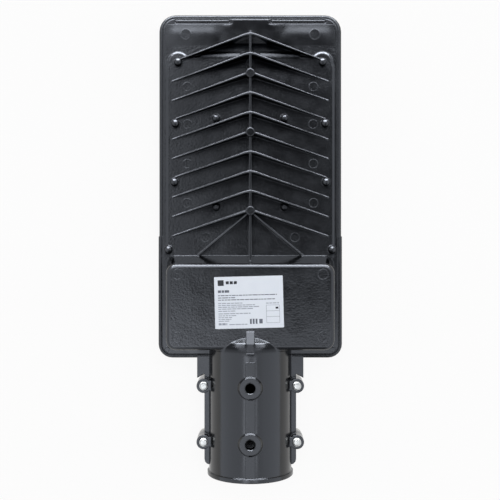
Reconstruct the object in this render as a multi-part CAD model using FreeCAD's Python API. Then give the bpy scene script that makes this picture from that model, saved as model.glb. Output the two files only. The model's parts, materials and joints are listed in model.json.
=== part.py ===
import FreeCAD
import Part
import math
import os

os.makedirs("parts", exist_ok=True)

# Street light head with a finned die-cast back, a driver box and a split pole socket. Millimetres.
# The origin is on the axis of the pole socket at its mouth. +Y runs to the nose and +Z to the fins,
# and the light leaves towards -Z.

# Body seen from above
led_half_width = 66.2
flare = 0.6
rear_y = 84.5
driver_part_length = 88.0
led_part_length = 161.3
nose_radius = 12.0
rear_radius = 10.0
step_y = rear_y + driver_part_length
nose_y = step_y + led_part_length
driver_half_width = led_half_width + flare

# Body seen from the side
plate_thickness = 3.2
skirt_depth = 9.0
skirt_wall = 3.0
rim_round = 1.8
rim_groove_inset = 2.1
rim_groove_width = 0.9
rim_groove_depth = 0.5
rim_groove_draft = 0.15
panel_rise = 0.8
panel_inset = 5.2
panel_radius = 9.0
panel_rear_radius = 2.0
panel_slope = 1.3
panel_front_setback = 30.1
panel_front_y = nose_y - panel_front_setback
panel_top = plate_thickness + panel_rise
root = plate_thickness - 0.5

# Raised bars at the nose
nose_bar_width = 1.3
nose_bar_rise = 0.5
nose_bar_inner = 15.6
nose_bar_outer = 54.3
nose_bar_setback = 4.0
nose_bar_trench = 0.6

# Driver box on the back
box_height = 19.8
box_side_inset = 7.4
box_side_draft = 1.2
box_rear_inset = 7.8
box_rear_draft = 1.4
box_front_base = 13.5
box_front_slope = 6.4
box_radius = 7.0
box_edge_round = 2.4
corner_flats = 6
round_sides = 20
casting_wall = 3.0
box_top = plate_thickness + box_height
box_top_half_width = driver_half_width - box_side_inset
box_top_rear_y = rear_y + box_rear_inset
box_base_front_y = step_y - box_front_base
box_top_front_y = box_base_front_y - box_front_slope

# Chevron fins and the spine between them
chevron_count = 10
first_peak_setback = 15.8
last_peak_ahead = 19.0
arm_angle = 18.3
arm_reach = 56.7
fin_thickness = 1.9
fin_tip_thickness = 0.6
fin_peak_radius = 14.0
fin_draft = 1.2
fin_crown_share = 0.6
fin_crown_slope = 0.6
spine_thickness = 1.5
spine_nub = 1.4
spine_top = 15.2
fin_peak_top = 15.6
fin_tip_rise = 0.35
pad_radius = 3.1
pad_rise = 0.2
pad_setback = 0.6
pad_chevrons = (2, 5, 9)
low_pad_top = 11.0
low_pad_radius = 2.9
low_pad_ahead = 0.8
brace_thickness = 1.3
brace_foot_x = 38.3
brace_foot_rise = 0.9
first_peak_y = nose_y - first_peak_setback
last_peak_y = step_y + last_peak_ahead
chevron_pitch = (first_peak_y - last_peak_y) / (chevron_count - 1)

# Domed screw bosses on the back
boss_radius = 3.0
boss_rise = 5.6
boss_chevrons = (0, 3, 6)
boss_offsets = (19.0, 21.2, 21.5)
boss_insets = (13.9, 12.0, 11.3)
boss_apron_radius = 8.0
cover_boss_inset = 7.6
cover_boss_setback = 9.2

# Pole socket and clamp
socket_radius = 30.0
bore_radius = 25.0
pole_insertion = 70.5
stop_radius = 22.0
collar_radius = 31.2
collar_length = 3.0
clamp_gap = 1.0
dome_length = 10.8
dome_lead = 6.3
dome_shoulder = 0.8
dome_brow = 3.0
mouth_bevel = 0.5
crest_bar_width = 5.9
crest_bar_rise = 2.4
crest_bar_lift = 0.8
crest_bar_length = 15.8
crest_strip_width = 6.5
crest_strip_rise = 0.25
set_boss_radius = 7.5
set_boss_rise = 1.5
set_boss_draft = 0.56
set_boss_root = 4.0
set_screw_ys = (27.1, 66.4)
set_hole_radius = 3.4
set_hole_chamfer = 0.6

# Clamp lugs, side flanges and the neck web
lug_x = 33.6
lug_ys = (24.8, 65.2)
lug_radius = 5.1
lug_height = 10.0
flange_half_width = 33.3
flange_start_y = 7.0
flange_corner = 4.0
flange_thickness = 3.0
neck_half_width = 38.6
neck_end_y = 70.0
neck_bevel = 4.5

# Bottom cover
cover_bottom = -21.0
cover_wall = 3.0
cover_floor = 2.5
cover_edge_bevel = 3.5
cover_front_radius = 5.0
partition_thickness = 3.5

# Seals, lens plate and light board
lens_land_depth = 4.5
lens_land_width = 4.8
lens_gasket_thickness = 1.5
lens_plate_thickness = 2.5
lens_edge_clearance = 0.4
gasket_inset = 0.6
gasket_width = 2.3
board_thickness = 1.6
board_side_clearance = 0.8
board_rear_gap = 3.0
board_front_gap = 3.0
led_rows = 6
led_columns = 4
led_side_margin = 13.0
led_end_margin = 22.05
led_first_row = 32.4
led_size = 3.5
led_height = 0.7
lens_radius = 8.2
lens_waist_radius = 7.0
lens_crown_radius = 3.6
lens_step = 1.6
lens_rise = 4.4
board_screw_x = 24.7

# Screws: thread radius, head radius, head height
m3_radius = 1.5
m3_head_radius = 2.75
m3_head_height = 2.0
m4_radius = 2.0
m4_head_radius = 3.6
m4_head_height = 2.6
m6_radius = 3.0
m6_head_radius = 4.7
m6_head_height = 5.0
m6_length = 25.0
thread_clearance = 0.15
screw_clearance = 0.3
washer_clearance = 0.2
blind_end = 1.2
long_tip_gap = 3.0
short_tip_gap = 0.8
stud_tip_gap = 0.3
flat_washer_thickness = 1.2
flat_washer_radius = 4.7
spring_washer_thickness = 1.6
spring_washer_radius = 4.4
pillar_radius = 4.0
cover_pillar_radius = 5.2
cover_counterbore = 4.0

# Size of the light board and its grid of light points
board_half_width = led_half_width - max(boss_insets) - pillar_radius - board_side_clearance
led_column_pitch = 2 * (board_half_width - led_side_margin) / (led_columns - 1)
led_row_pitch = (led_part_length - led_first_row - led_end_margin) / (led_rows - 1)

# Driver, terminal block, earth point and leads
driver_width = 36.0
driver_height = 26.0
driver_front_gap = 1.5
driver_end_gap = 1.8
driver_standoff = 3.0
driver_ear_length = 8.6
driver_length = 2 * (box_top_half_width - casting_wall - driver_end_gap - driver_ear_length)
driver_ear_thickness = 2.0
driver_ear_width = 16.0
block_length = 22.0
block_width = 9.0
block_height = 12.0
block_x = 29.0
block_rear_gap = 1.2
well_depth = 3.0
terminal_screw_radius = 1.45
stud_depth = 4.0
lead_radius = 1.1
output_lead_radius = 0.75
output_lead_spacing = 4.0
output_lead_x = -28.0
output_lead_landing = 3.0
lead_slot_depth = 1.8
lead_slot_margin = 1.0
earth_x = -26.0
earth_lug_thickness = 0.8
earth_ring_radius = 3.6
earth_tongue_length = 7.5
earth_tongue_width = 3.6

# Cable gland in the wall between the socket and the driver compartment
gland_z = 10.5
gland_thread_radius = 6.0
gland_flats = 15.0
gland_flange = 4.5
gland_nut_length = 3.0
gland_tail = 5.0
gland_cap_length = 9.0
gland_cap_gap = 0.3
gland_cap_bevel = 2.4
gland_cap_floor = 2.0
gland_cap_flats = 14.2
gland_neck = 5.0
gland_cable_radius = 4.0
gland_seal_squeeze = 0.6

# Label
label_length = 48.4
label_height = 36.6
label_thickness = 0.15
label_x = -0.9
label_y = 126.1
label_turn = 1.5


def vec(x, y, z):
    """Return a point or direction."""
    return FreeCAD.Vector(x, y, z)


def block(x_low, x_high, y_low, y_high, z_low, z_high):
    """Return a box between six planes."""
    corner = vec(x_low, y_low, z_low)
    return Part.makeBox(x_high - x_low, y_high - y_low, z_high - z_low, corner)


def post(x, y, z_low, z_high, radius):
    """Return an upright cylinder."""
    return Part.makeCylinder(radius, z_high - z_low, vec(x, y, z_low))


def round_bar(x, z, y_low, y_high, radius):
    """Return a cylinder that lies along Y."""
    return Part.makeCylinder(radius, y_high - y_low, vec(x, y_low, z), vec(0, 1, 0))


def both_sides(shape):
    """Return the shape and its mirror image across the YZ plane."""
    return [shape, shape.mirror(vec(0, 0, 0), vec(1, 0, 0))]


def ring_points(x, y, z, radius, sides):
    """Return the corners of a level regular polygon."""
    turns = [2 * math.pi * (i + 0.5) / sides for i in range(sides)]
    return [vec(x + radius * math.cos(t), y + radius * math.sin(t), z) for t in turns]


def corner_points(x, y, z, radius, quarter, flats):
    """Return the flats' ends round one quarter of a corner, counted from the one at -X and -Y."""
    turns = [math.radians(90 * (quarter + 2 + step / flats)) for step in range(flats + 1)]
    return [vec(x + radius * math.cos(t), y + radius * math.sin(t), z) for t in turns]


def box_ring(half_width, rear, front, radius_rear, radius_front, z, flats):
    """Return the corners of a level rectangle whose round corners have a few flats each."""
    radii = (radius_rear, radius_rear, radius_front, radius_front)
    signs = ((-1, 1), (1, 1), (1, -1), (-1, -1))
    points = []
    for quarter, (radius, (across, inward)) in enumerate(zip(radii, signs)):
        edge = rear if quarter < 2 else front
        points += corner_points(across * (half_width - radius), edge + inward * radius, z,
                                radius, quarter, flats)
    return points


def stacked(rings):
    """Return the solid between rings of equal count, bottom first, whose sides stay parallel."""
    faces = [Part.Face(Part.makePolygon(ring + [ring[0]])) for ring in (rings[0], rings[-1])]
    count = len(rings[0])
    for low, high in zip(rings, rings[1:]):
        for i in range(count):
            j = (i + 1) % count
            faces.append(Part.Face(Part.makePolygon([low[i], low[j], high[j], high[i], low[i]])))
    solid = Part.Solid(Part.Shell(faces))
    if solid.Volume < 0:
        solid.reverse()
    return solid


def tiers(half_width, rear, front, radius_rear, radius_front, levels):
    """Return a rounded block, even about the YZ plane, from (level, how far drawn in) pairs."""
    flats = corner_flats if max(radius_rear, radius_front) > 4 else 3
    return stacked([box_ring(half_width - drawn, rear + drawn, front - drawn,
                             radius_rear - drawn, radius_front - drawn, z, flats)
                    for z, drawn in levels])


def plate(half_width, rear, front, radius_rear, radius_front, z_low, z_high):
    """Return a rounded plate between two levels."""
    return tiers(half_width, rear, front, radius_rear, radius_front, [(z_low, 0), (z_high, 0)])


def turned(x, y, levels, sides=8):
    """Return a small turned piece on an upright axis from its (level, radius) pairs, bottom first.

    A small round that repeats has a few flats in place of a full circle.
    """
    return stacked([ring_points(x, y, z, radius, sides) for z, radius in levels])


def pin(x, y, z_low, z_high, radius, sides=8):
    """Return a small upright rod, for screw holes and other small rounds that repeat."""
    return turned(x, y, [(z_low, radius), (z_high, radius)], sides)


def lay_along_y(shape, x, z):
    """Return a piece that was drawn upright at the origin, laid along Y at a place across."""
    shape.rotate(vec(0, 0, 0), vec(1, 0, 0), -90)
    shape.translate(vec(x, 0, z))
    return shape


def lead(start, end, radius):
    """Return a straight run of a round lead between two points."""
    a = vec(*start)
    run = vec(*end) - a
    rod = pin(0, 0, 0, run.Length, radius)
    rod.Placement = FreeCAD.Placement(a, FreeCAD.Rotation(vec(0, 0, 1), run))
    return rod


def screw(x, y, seat, tip, radius, head_radius, head_height):
    """Return a screw whose head sits below its seat and whose thread runs up to its tip."""
    edge = head_height * 0.25
    return turned(x, y, [
        (seat - head_height, head_radius - edge), (seat - head_height + edge, head_radius),
        (seat, head_radius), (seat, radius), (tip, radius),
    ])


def peak_y(index):
    """Return where a chevron crosses the spine, counted from the nose."""
    return first_peak_y - chevron_pitch * index


def lens_screw_places():
    """Return the plan places of the six screws that hold the lens plate."""
    places = []
    for index, offset, inset in zip(boss_chevrons, boss_offsets, boss_insets):
        for side in (-1, 1):
            places.append((side * (led_half_width - inset), peak_y(index) - offset))
    return places


def led_row_y(index):
    """Return the place of one row of light points, counted from the driver part."""
    return step_y + led_first_row + led_row_pitch * index


def board_screw_places():
    """Return the plan places of the four screws of the light board, midway between rows."""
    places = []
    for row in (-0.5, led_rows / 2 - 0.5):
        for side in (-1, 1):
            places.append((side * board_screw_x, led_row_y(row)))
    return places


def cover_screw_places():
    """Return the plan places of the two front screws of the bottom cover."""
    return [(side * (driver_half_width - cover_boss_inset), step_y - cover_boss_setback)
            for side in (-1, 1)]


def lug_places():
    """Return the plan places of the four clamp screws."""
    return [(side * lug_x, y) for y in lug_ys for side in (-1, 1)]


def fin_line(index, x):
    """Return where the middle of a chevron runs at one place across, round its peak."""
    slope = math.radians(arm_angle)
    if abs(x) >= fin_peak_radius * math.sin(slope):
        return peak_y(index) - abs(x) * math.tan(slope)
    centre = peak_y(index) - fin_peak_radius / math.cos(slope)
    return centre + math.sqrt(fin_peak_radius ** 2 - x * x)


def fin_section(index, x, reach):
    """Return the six corners of a chevron's section at one place across, with draft and crown."""
    half = (fin_thickness + (fin_tip_thickness - fin_thickness) * abs(x) / reach) / 2
    top = fin_peak_top - (fin_peak_top - panel_top - fin_tip_rise) * abs(x) / arm_reach
    crown = half * fin_crown_share
    shoulder = top - crown * fin_crown_slope
    foot = half + (shoulder - root) * math.tan(math.radians(fin_draft))
    widen = 1 / math.cos(math.radians(arm_angle))
    side = [(foot * widen, root), (half * widen, shoulder), ((half - crown) * widen, top)]
    y = fin_line(index, x)
    return [vec(x, y - w, z) for w, z in side] + [vec(x, y + w, z) for w, z in reversed(side)]


def chevron(index):
    """Return one V-shaped fin. It stands highest on the spine and thins out to its tips."""
    reach = arm_reach
    if index in boss_chevrons:
        reach = led_half_width - boss_insets[boss_chevrons.index(index)]
    bend = fin_peak_radius * math.sin(math.radians(arm_angle))
    stations = (-reach, -bend, -bend / 2, 0, bend / 2, bend, reach)
    return stacked([fin_section(index, x, reach) for x in stations])


def rib(start, end, thickness, z_low, z_start, z_end):
    """Return an upright rib between two plan points, with its own height at each."""
    a = vec(start[0], start[1], 0)
    b = vec(end[0], end[1], 0)
    across = (b - a).cross(vec(0, 0, 1)).normalize() * thickness
    shift = across * -0.5
    corners = [a + shift + vec(0, 0, z_low), b + shift + vec(0, 0, z_low),
               b + shift + vec(0, 0, z_end), a + shift + vec(0, 0, z_start)]
    face = Part.Face(Part.makePolygon(corners + [corners[0]]))
    return face.extrude(across)


def domed_boss(x, y):
    """Return a blind screw boss with a round top, which rises from inside the plate."""
    middle = plate_thickness + boss_rise - boss_radius
    levels = [(plate_thickness - 1, boss_radius)]
    for turn in (0, 40, 75):
        levels.append((middle + boss_radius * math.sin(math.radians(turn)),
                       boss_radius * math.cos(math.radians(turn))))
    return turned(x, y, levels, 12)


def driver_box(inset, z_low, z_high, edge_round):
    """Return the drafted driver box, drawn in by a wall on all sides and cut to two levels."""
    slope = box_front_slope / box_height
    side = box_side_draft / box_height
    back = box_rear_draft / box_height
    levels = [(z_low, 0)]
    for turn in (0, 22, 45, 68, 90):
        levels.append((z_high - edge_round * (1 - math.sin(math.radians(turn))),
                       edge_round * (1 - math.cos(math.radians(turn)))))
    rings = []
    for z, drawn in levels if edge_round else levels[:2]:
        below = box_top - z
        wall = inset + drawn
        radius = box_radius - wall
        rings.append(box_ring(box_top_half_width + side * below - wall,
                              box_top_rear_y - back * below + wall,
                              box_top_front_y + slope * below - wall,
                              radius, radius, z, corner_flats))
    return stacked(rings)


def barrel(radius, y_low, y_high, upper):
    """Return half of a round bar on the socket axis, above or below the split."""
    bar = round_bar(0, 0, y_low, y_high, radius)
    if upper:
        return bar.common(block(-radius, radius, y_low, y_high, 0, radius))
    return bar.common(block(-radius, radius, y_low, y_high, -radius, -clamp_gap))


def socket_outside(upper):
    """Return the outside of half a socket, with its collar and the dome at its inner end."""
    z_low, z_high = (0, collar_radius) if upper else (-collar_radius, -clamp_gap)
    crest_end = rear_y + dome_lead
    end_radius = (box_top if upper else -cover_bottom) - 0.5
    outline = [
        (0, 0), (collar_radius - mouth_bevel, 0), (collar_radius, mouth_bevel),
        (collar_radius, collar_length), (socket_radius, collar_length + mouth_bevel),
        (socket_radius, crest_end), (socket_radius - dome_shoulder, crest_end + dome_length * 0.3),
        (socket_radius - dome_brow, crest_end + dome_length * 0.6),
        (end_radius, crest_end + dome_length), (0, crest_end + dome_length), (0, 0),
    ]
    half = Part.makePolygon([vec(x, y, 0) for x, y in outline])
    full = Part.Face(half).revolve(vec(0, 0, 0), vec(0, 1, 0), 360)
    reach = collar_radius + 1
    return full.common(block(-reach, reach, -1, nose_y, z_low, z_high))


def clamp_ears(upper):
    """Return the lugs, side flanges and neck webs of half a socket."""
    z_far = lug_height if upper else -lug_height
    z_near = 0 if upper else -clamp_gap
    z_flange = flange_thickness if upper else -flange_thickness - clamp_gap
    low, high = sorted((z_near, z_far))
    flange_low, flange_high = sorted((z_near, z_flange))
    pieces = []
    for x, y in lug_places():
        side = 1 if x > 0 else -1
        pieces.append(pin(x, y, low, high, lug_radius, round_sides))
        inner, outer = sorted((side * (bore_radius + 3), x))
        pieces.append(block(inner, outer, y - lug_radius * 0.7, y + lug_radius * 0.7, low, high))
    strip = plate(flange_half_width, flange_start_y, rear_y + 1, flange_corner, 0.5,
                  flange_low, flange_high)
    neck = Part.Face(Part.makePolygon([
        vec(-neck_half_width, rear_y + 1, flange_low), vec(-neck_half_width, neck_end_y, flange_low),
        vec(-socket_radius, neck_end_y + neck_bevel, flange_low),
        vec(socket_radius, neck_end_y + neck_bevel, flange_low),
        vec(neck_half_width, neck_end_y, flange_low), vec(neck_half_width, rear_y + 1, flange_low),
        vec(-neck_half_width, rear_y + 1, flange_low),
    ])).extrude(vec(0, 0, flange_high - flange_low))
    pieces += [strip, neck]
    return pieces


def socket_bore():
    """Return what is cut out of half a socket: the pole bore up to its stop and the way behind."""
    return [
        round_bar(0, 0, -1, pole_insertion, bore_radius),
        round_bar(0, 0, pole_insertion - 1, rear_y, stop_radius),
    ]


def body_plate():
    """Return the top plate of the body with its rounded edge, its rim groove and its small flare."""
    levels = [(0, 0)]
    for turn in (0, 30, 60, 90):
        levels.append((plate_thickness - rim_round * (1 - math.sin(math.radians(turn))),
                       rim_round * (1 - math.cos(math.radians(turn)))))
    groove_far = rim_groove_inset + rim_groove_width
    levels += [(plate_thickness, rim_groove_inset),
               (plate_thickness - rim_groove_depth, rim_groove_inset + rim_groove_draft),
               (plate_thickness - rim_groove_depth, groove_far - rim_groove_draft),
               (plate_thickness, groove_far)]
    rings = []
    for z, drawn in levels:
        v = driver_half_width - rear_radius
        w = led_half_width - nose_radius
        rear = rear_radius - drawn
        front = nose_radius - drawn
        ring = corner_points(-v, rear_y + rear_radius, z, rear, 0, corner_flats)
        ring += corner_points(v, rear_y + rear_radius, z, rear, 1, corner_flats)
        ring += [vec(driver_half_width - drawn, step_y, z), vec(led_half_width - drawn, step_y + flare, z)]
        ring += corner_points(w, nose_y - nose_radius, z, front, 2, corner_flats)
        ring += corner_points(-w, nose_y - nose_radius, z, front, 3, corner_flats)
        ring += [vec(drawn - led_half_width, step_y + flare, z), vec(drawn - driver_half_width, step_y, z)]
        rings.append(ring)
    return stacked(rings)


def housing():
    """Return the die-cast body: plate, skirt, panel, fins, driver box and upper half of the socket."""
    skirt = plate(led_half_width, step_y + flare, nose_y, 1.0, nose_radius, -skirt_depth, 0.5)
    panel = tiers(led_half_width - panel_inset, box_base_front_y - 2, panel_front_y,
                  panel_rear_radius, panel_radius,
                  [(root, 0), (plate_thickness, 0), (panel_top, panel_slope)])
    box = driver_box(0, root, box_top, box_edge_round)
    solids = [skirt, panel, box]

    for index in range(chevron_count):
        solids.append(chevron(index))
    spine_end = box_top_front_y + 2
    solids.append(rib((0, spine_end), (0, first_peak_y + spine_nub), spine_thickness,
                      root, spine_top, spine_top))
    for index in pad_chevrons:
        solids.append(pin(0, peak_y(index) - pad_setback, root, fin_peak_top + pad_rise,
                          pad_radius, round_sides))
    low_pad_y = (peak_y(1) + peak_y(2)) / 2 + low_pad_ahead
    solids.append(pin(0, low_pad_y, root, low_pad_top, low_pad_radius, round_sides))
    brace_foot = (brace_foot_x, box_base_front_y - 0.5)
    brace = rib((0, last_peak_y - 1), brace_foot, brace_thickness,
                root, spine_top, panel_top + brace_foot_rise)
    solids += both_sides(brace)

    for x, y in lens_screw_places() + board_screw_places() + cover_screw_places():
        solids.append(domed_boss(x, y))
    for x, y in lens_screw_places()[:2]:
        solids.append(turned(x, y, [(root, boss_apron_radius), (plate_thickness, boss_apron_radius),
                                    (panel_top, boss_apron_radius - panel_slope)], round_sides))

    solids.append(socket_outside(True))
    solids += clamp_ears(True)
    solids.append(block(-crest_strip_width / 2, crest_strip_width / 2, collar_length, rear_y,
                        socket_radius - 1, socket_radius + crest_strip_rise))
    crest_y = rear_y + dome_lead - 1
    solids.append(rib((0, crest_y), (0, crest_y + crest_bar_length), crest_bar_width, box_top - 3,
                      socket_radius + crest_bar_lift, box_top + crest_bar_rise))
    for y in set_screw_ys:
        top = socket_radius + set_boss_rise
        depth = set_boss_rise + set_boss_root
        solids.append(turned(0, y, [(top - depth, set_boss_radius + depth * set_boss_draft),
                                    (top, set_boss_radius)], round_sides))
    body = body_plate().fuse(solids)

    cuts = socket_bore()
    cuts.append(barrel(bore_radius - 1, rear_y + partition_thickness,
                       box_top_rear_y + casting_wall + 0.5, True))
    cuts.append(driver_box(casting_wall, -0.5, box_top - casting_wall, 0))
    cuts.append(lens_recess())
    cuts.append(light_pocket())
    cuts.append(lead_slot())
    cuts.append(lay_along_y(pin(0, 0, rear_y - 1, rear_y + partition_thickness + 1,
                                gland_thread_radius + thread_clearance, 12), 0, gland_z))
    hole = set_hole_radius
    for y in set_screw_ys:
        top = socket_radius + set_boss_rise
        cuts.append(post(0, y, bore_radius - 4, top + 1, hole))
        cuts.append(Part.makeCone(hole, hole + set_hole_chamfer, set_hole_chamfer,
                                  vec(0, y, top - set_hole_chamfer)))
    for x, y in lug_places():
        cuts.append(pin(x, y, -1, lug_height + 1, m6_radius + thread_clearance))
    for x, y in cover_screw_places():
        cuts.append(pin(x, y, -1, plate_thickness + boss_rise - blind_end - 1,
                        m4_radius + thread_clearance))
    cuts += both_sides(nose_bar(nose_bar_trench, plate_thickness - rim_groove_depth, plate_thickness + 1))
    body = body.cut(cuts)

    # What stands inside the pockets, drilled for its screws, and the bars in their trenches
    stands = both_sides(nose_bar(0, root - 1, plate_thickness + nose_bar_rise))
    holes = []
    for x, y in lens_screw_places():
        stands.append(pin(x, y, -lens_land_depth - lens_gasket_thickness, 0.5, pillar_radius))
        holes.append(pin(x, y, -skirt_depth, plate_thickness + boss_rise - blind_end - 1,
                         m4_radius + thread_clearance))
    for x, y in board_screw_places():
        holes.append(pin(x, y, -1, plate_thickness + boss_rise - blind_end - 1,
                         m3_radius + thread_clearance))
    roof_z = box_top - casting_wall
    for x, y in driver_screw_places():
        stands.append(pin(x, y, roof_z - driver_standoff, roof_z + 0.5, pillar_radius))
        holes.append(pin(x, y, roof_z - driver_standoff - 1, box_top - blind_end,
                         m4_radius + thread_clearance))
    for x, y in (block_screw_place(), earth_place()):
        holes.append(pin(x, y, roof_z - 1, box_top - blind_end, m3_radius + thread_clearance))
    body = body.fuse(stands).cut(holes)
    return body.removeSplitter()


def nose_bar(around, z_low, z_high):
    """Return the bar on the right of the nose, widened on all sides for the trench around it."""
    front = nose_y - nose_bar_setback
    return block(nose_bar_inner - around, nose_bar_outer + around, front - nose_bar_width - around,
                 front + around, z_low, z_high)


def lens_recess():
    """Return the shallow recess for the lens plate and its gasket."""
    return plate(led_half_width - skirt_wall, step_y + flare + skirt_wall, nose_y - skirt_wall,
                 nose_radius - skirt_wall, nose_radius - skirt_wall,
                 -skirt_depth - 1, -lens_land_depth)


def light_pocket():
    """Return the pocket for the light board, inside the seal land."""
    inset = skirt_wall + lens_land_width
    radius = nose_radius - skirt_wall - 3
    return plate(led_half_width - inset, step_y + flare + inset, nose_y - inset,
                 radius, radius, -lens_land_depth - 1, 0)


def board_span():
    """Return the rear and front edge of the light board."""
    inset = skirt_wall + lens_land_width
    return step_y + flare + inset + board_rear_gap, nose_y - inset - board_front_gap


def output_lead_xs():
    """Return the two output leads' places across the head."""
    return [output_lead_x - output_lead_spacing / 2, output_lead_x + output_lead_spacing / 2]


def lead_end_y():
    """Return where the output leads end over the light board."""
    return board_span()[0] + output_lead_landing


def lead_slot():
    """Return the slot under the plate through which the output leads reach the light board."""
    half = output_lead_spacing / 2 + output_lead_radius + lead_slot_margin
    return block(output_lead_x - half, output_lead_x + half, driver_front_y() - 1, lead_end_y() + 2.5,
                 -0.1, lead_slot_depth)


def driver_front_y():
    """Return the front face of the driver."""
    return box_top_front_y - casting_wall - driver_front_gap


def driver_top_z():
    """Return the level of the driver's mounting ears and top."""
    return box_top - casting_wall - driver_standoff


def driver_screw_places():
    """Return the plan places of the driver's two screws."""
    x = driver_length / 2 + driver_ear_length / 2
    y = driver_front_y() - driver_width / 2
    return [(-x, y), (x, y)]


def block_rear_y():
    """Return the rear face of the terminal block."""
    return box_top_rear_y + casting_wall + block_rear_gap


def block_screw_place():
    """Return the plan place of the terminal block's fixing screw."""
    return block_x, block_rear_y() + block_width / 2


def earth_place():
    """Return the plan place of the earth screw."""
    return earth_x, block_rear_y() + block_width / 2


def bottom_cover():
    """Return the cover under the driver compartment, in one piece with the lower socket half."""
    tray = tiers(driver_half_width, rear_y, step_y, rear_radius, cover_front_radius,
                 [(cover_bottom, cover_edge_bevel), (cover_bottom + cover_edge_bevel, 0), (-clamp_gap, 0)])
    solids = [socket_outside(False)] + clamp_ears(False)
    body = tray.fuse(solids)
    hollow = plate(driver_half_width - cover_wall, rear_y + partition_thickness, step_y - cover_wall,
                   rear_radius - cover_wall, 1.0, cover_bottom + cover_floor, 1)
    cuts = socket_bore()
    cuts.append(hollow)
    cuts.append(barrel(bore_radius - 1, rear_y + partition_thickness, rear_y + dome_lead, False))
    for x, y in lug_places():
        cuts.append(pin(x, y, -lug_height - 1, 1, m6_radius + screw_clearance))
    body = body.cut(cuts)
    pillars = []
    holes = []
    for x, y in cover_screw_places():
        pillars.append(pin(x, y, cover_bottom + 0.5, -clamp_gap, cover_pillar_radius))
        holes.append(pin(x, y, cover_bottom - 1, 1, m4_radius + screw_clearance))
        holes.append(pin(x, y, cover_bottom - 1, cover_bottom + cover_counterbore,
                         m4_head_radius + screw_clearance, round_sides))
    outside = plate(driver_half_width, rear_y, step_y, rear_radius, cover_front_radius,
                    cover_bottom, -clamp_gap)
    pillars = [p.common(outside) for p in pillars]
    return body.fuse(pillars).cut(holes).removeSplitter()


def cover_gasket():
    """Return the flat seal between the body and the bottom cover."""
    outer = plate(driver_half_width - gasket_inset, rear_y + gasket_inset, step_y - gasket_inset,
                  rear_radius - gasket_inset, cover_front_radius - gasket_inset, -clamp_gap, 0)
    inset = gasket_inset + gasket_width
    inner = plate(driver_half_width - inset, rear_y + inset, step_y - inset,
                  rear_radius - inset, cover_front_radius - inset * 0.7, -clamp_gap - 1, 1)
    return outer.cut(inner)


def lens_gasket():
    """Return the flat seal between the body and the lens plate."""
    wall = skirt_wall + lens_edge_clearance
    land = skirt_wall + lens_land_width - 0.5
    low = -lens_land_depth - lens_gasket_thickness
    outer = plate(led_half_width - wall, step_y + flare + wall, nose_y - wall,
                  nose_radius - wall, nose_radius - wall, low, -lens_land_depth)
    inner = plate(led_half_width - land, step_y + flare + land, nose_y - land,
                  nose_radius - land, nose_radius - land, low - 1, 0)
    ring = outer.cut(inner)
    around = [pin(x, y, low - 1, 0, pillar_radius + screw_clearance)
              for x, y in lens_screw_places()]
    return ring.cut(around)


def lens(x, y, z):
    """Return one moulded lens under the lens plate."""
    return turned(x, y, [(z - lens_rise, lens_crown_radius), (z - lens_step, lens_waist_radius),
                         (z, lens_radius)], 8)


def led_places():
    """Return the plan places of the light points."""
    first = -(led_columns - 1) / 2
    return [(led_column_pitch * (first + c), led_row_y(r))
            for r in range(led_rows) for c in range(led_columns)]


def lens_plate():
    """Return the clear lens plate with one lens under each light point."""
    wall = skirt_wall + lens_edge_clearance
    top = -lens_land_depth - lens_gasket_thickness
    bottom = top - lens_plate_thickness
    flat = plate(led_half_width - wall, step_y + flare + wall, nose_y - wall,
                 nose_radius - wall, nose_radius - wall, bottom, top)
    body = flat.fuse([lens(x, y, bottom) for x, y in led_places()])
    holes = [pin(x, y, bottom - 1, top + 1, m4_radius + screw_clearance)
             for x, y in lens_screw_places()]
    return body.cut(holes).removeSplitter()


def led_board():
    """Return the light board under the plate, drilled for its screws."""
    rear, front = board_span()
    board = plate(board_half_width, rear, front, 2.0, 2.0, -board_thickness, 0)
    return board.cut([pin(x, y, -board_thickness - 1, 1, m3_radius + screw_clearance)
                      for x, y in board_screw_places()])


def led_chips():
    """Return the light points as one group of separate solids."""
    half = led_size / 2
    return Part.makeCompound([
        block(x - half, x + half, y - half, y + half, -board_thickness - led_height, -board_thickness)
        for x, y in led_places()])


def lens_screws():
    """Return the six screws of the lens plate."""
    seat = -lens_land_depth - lens_gasket_thickness - lens_plate_thickness
    tip = plate_thickness + boss_rise - blind_end - long_tip_gap
    return Part.makeCompound([screw(x, y, seat, tip, m4_radius, m4_head_radius, m4_head_height)
                              for x, y in lens_screw_places()])


def board_screws():
    """Return the four screws of the light board."""
    tip = plate_thickness + boss_rise - blind_end - long_tip_gap
    return Part.makeCompound([
        screw(x, y, -board_thickness, tip, m3_radius, m3_head_radius, m3_head_height)
        for x, y in board_screw_places()])


def cover_screws():
    """Return the two front screws of the bottom cover."""
    seat = cover_bottom + cover_counterbore
    tip = plate_thickness + boss_rise - blind_end - long_tip_gap
    return Part.makeCompound([screw(x, y, seat, tip, m4_radius, m4_head_radius, m4_head_height)
                              for x, y in cover_screw_places()])


def washer(x, y, top, thickness, radius):
    """Return one washer on a clamp screw."""
    ring = pin(x, y, top - thickness, top, radius)
    return ring.cut(pin(x, y, top - thickness - 1, top + 1, m6_radius + washer_clearance))


def socket_flat_washers():
    """Return the flat washers under the clamp lugs."""
    return Part.makeCompound([washer(x, y, -lug_height, flat_washer_thickness, flat_washer_radius)
                              for x, y in lug_places()])


def socket_spring_washers():
    """Return the split spring washers under the flat washers."""
    top = -lug_height - flat_washer_thickness
    rings = []
    for x, y in lug_places():
        ring = washer(x, y, top, spring_washer_thickness, spring_washer_radius)
        slit = block(x, x + spring_washer_radius + 1, y - 0.5, y + 0.5,
                     top - spring_washer_thickness - 1, top + 1)
        rings.append(ring.cut(slit))
    return Part.makeCompound(rings)


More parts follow.
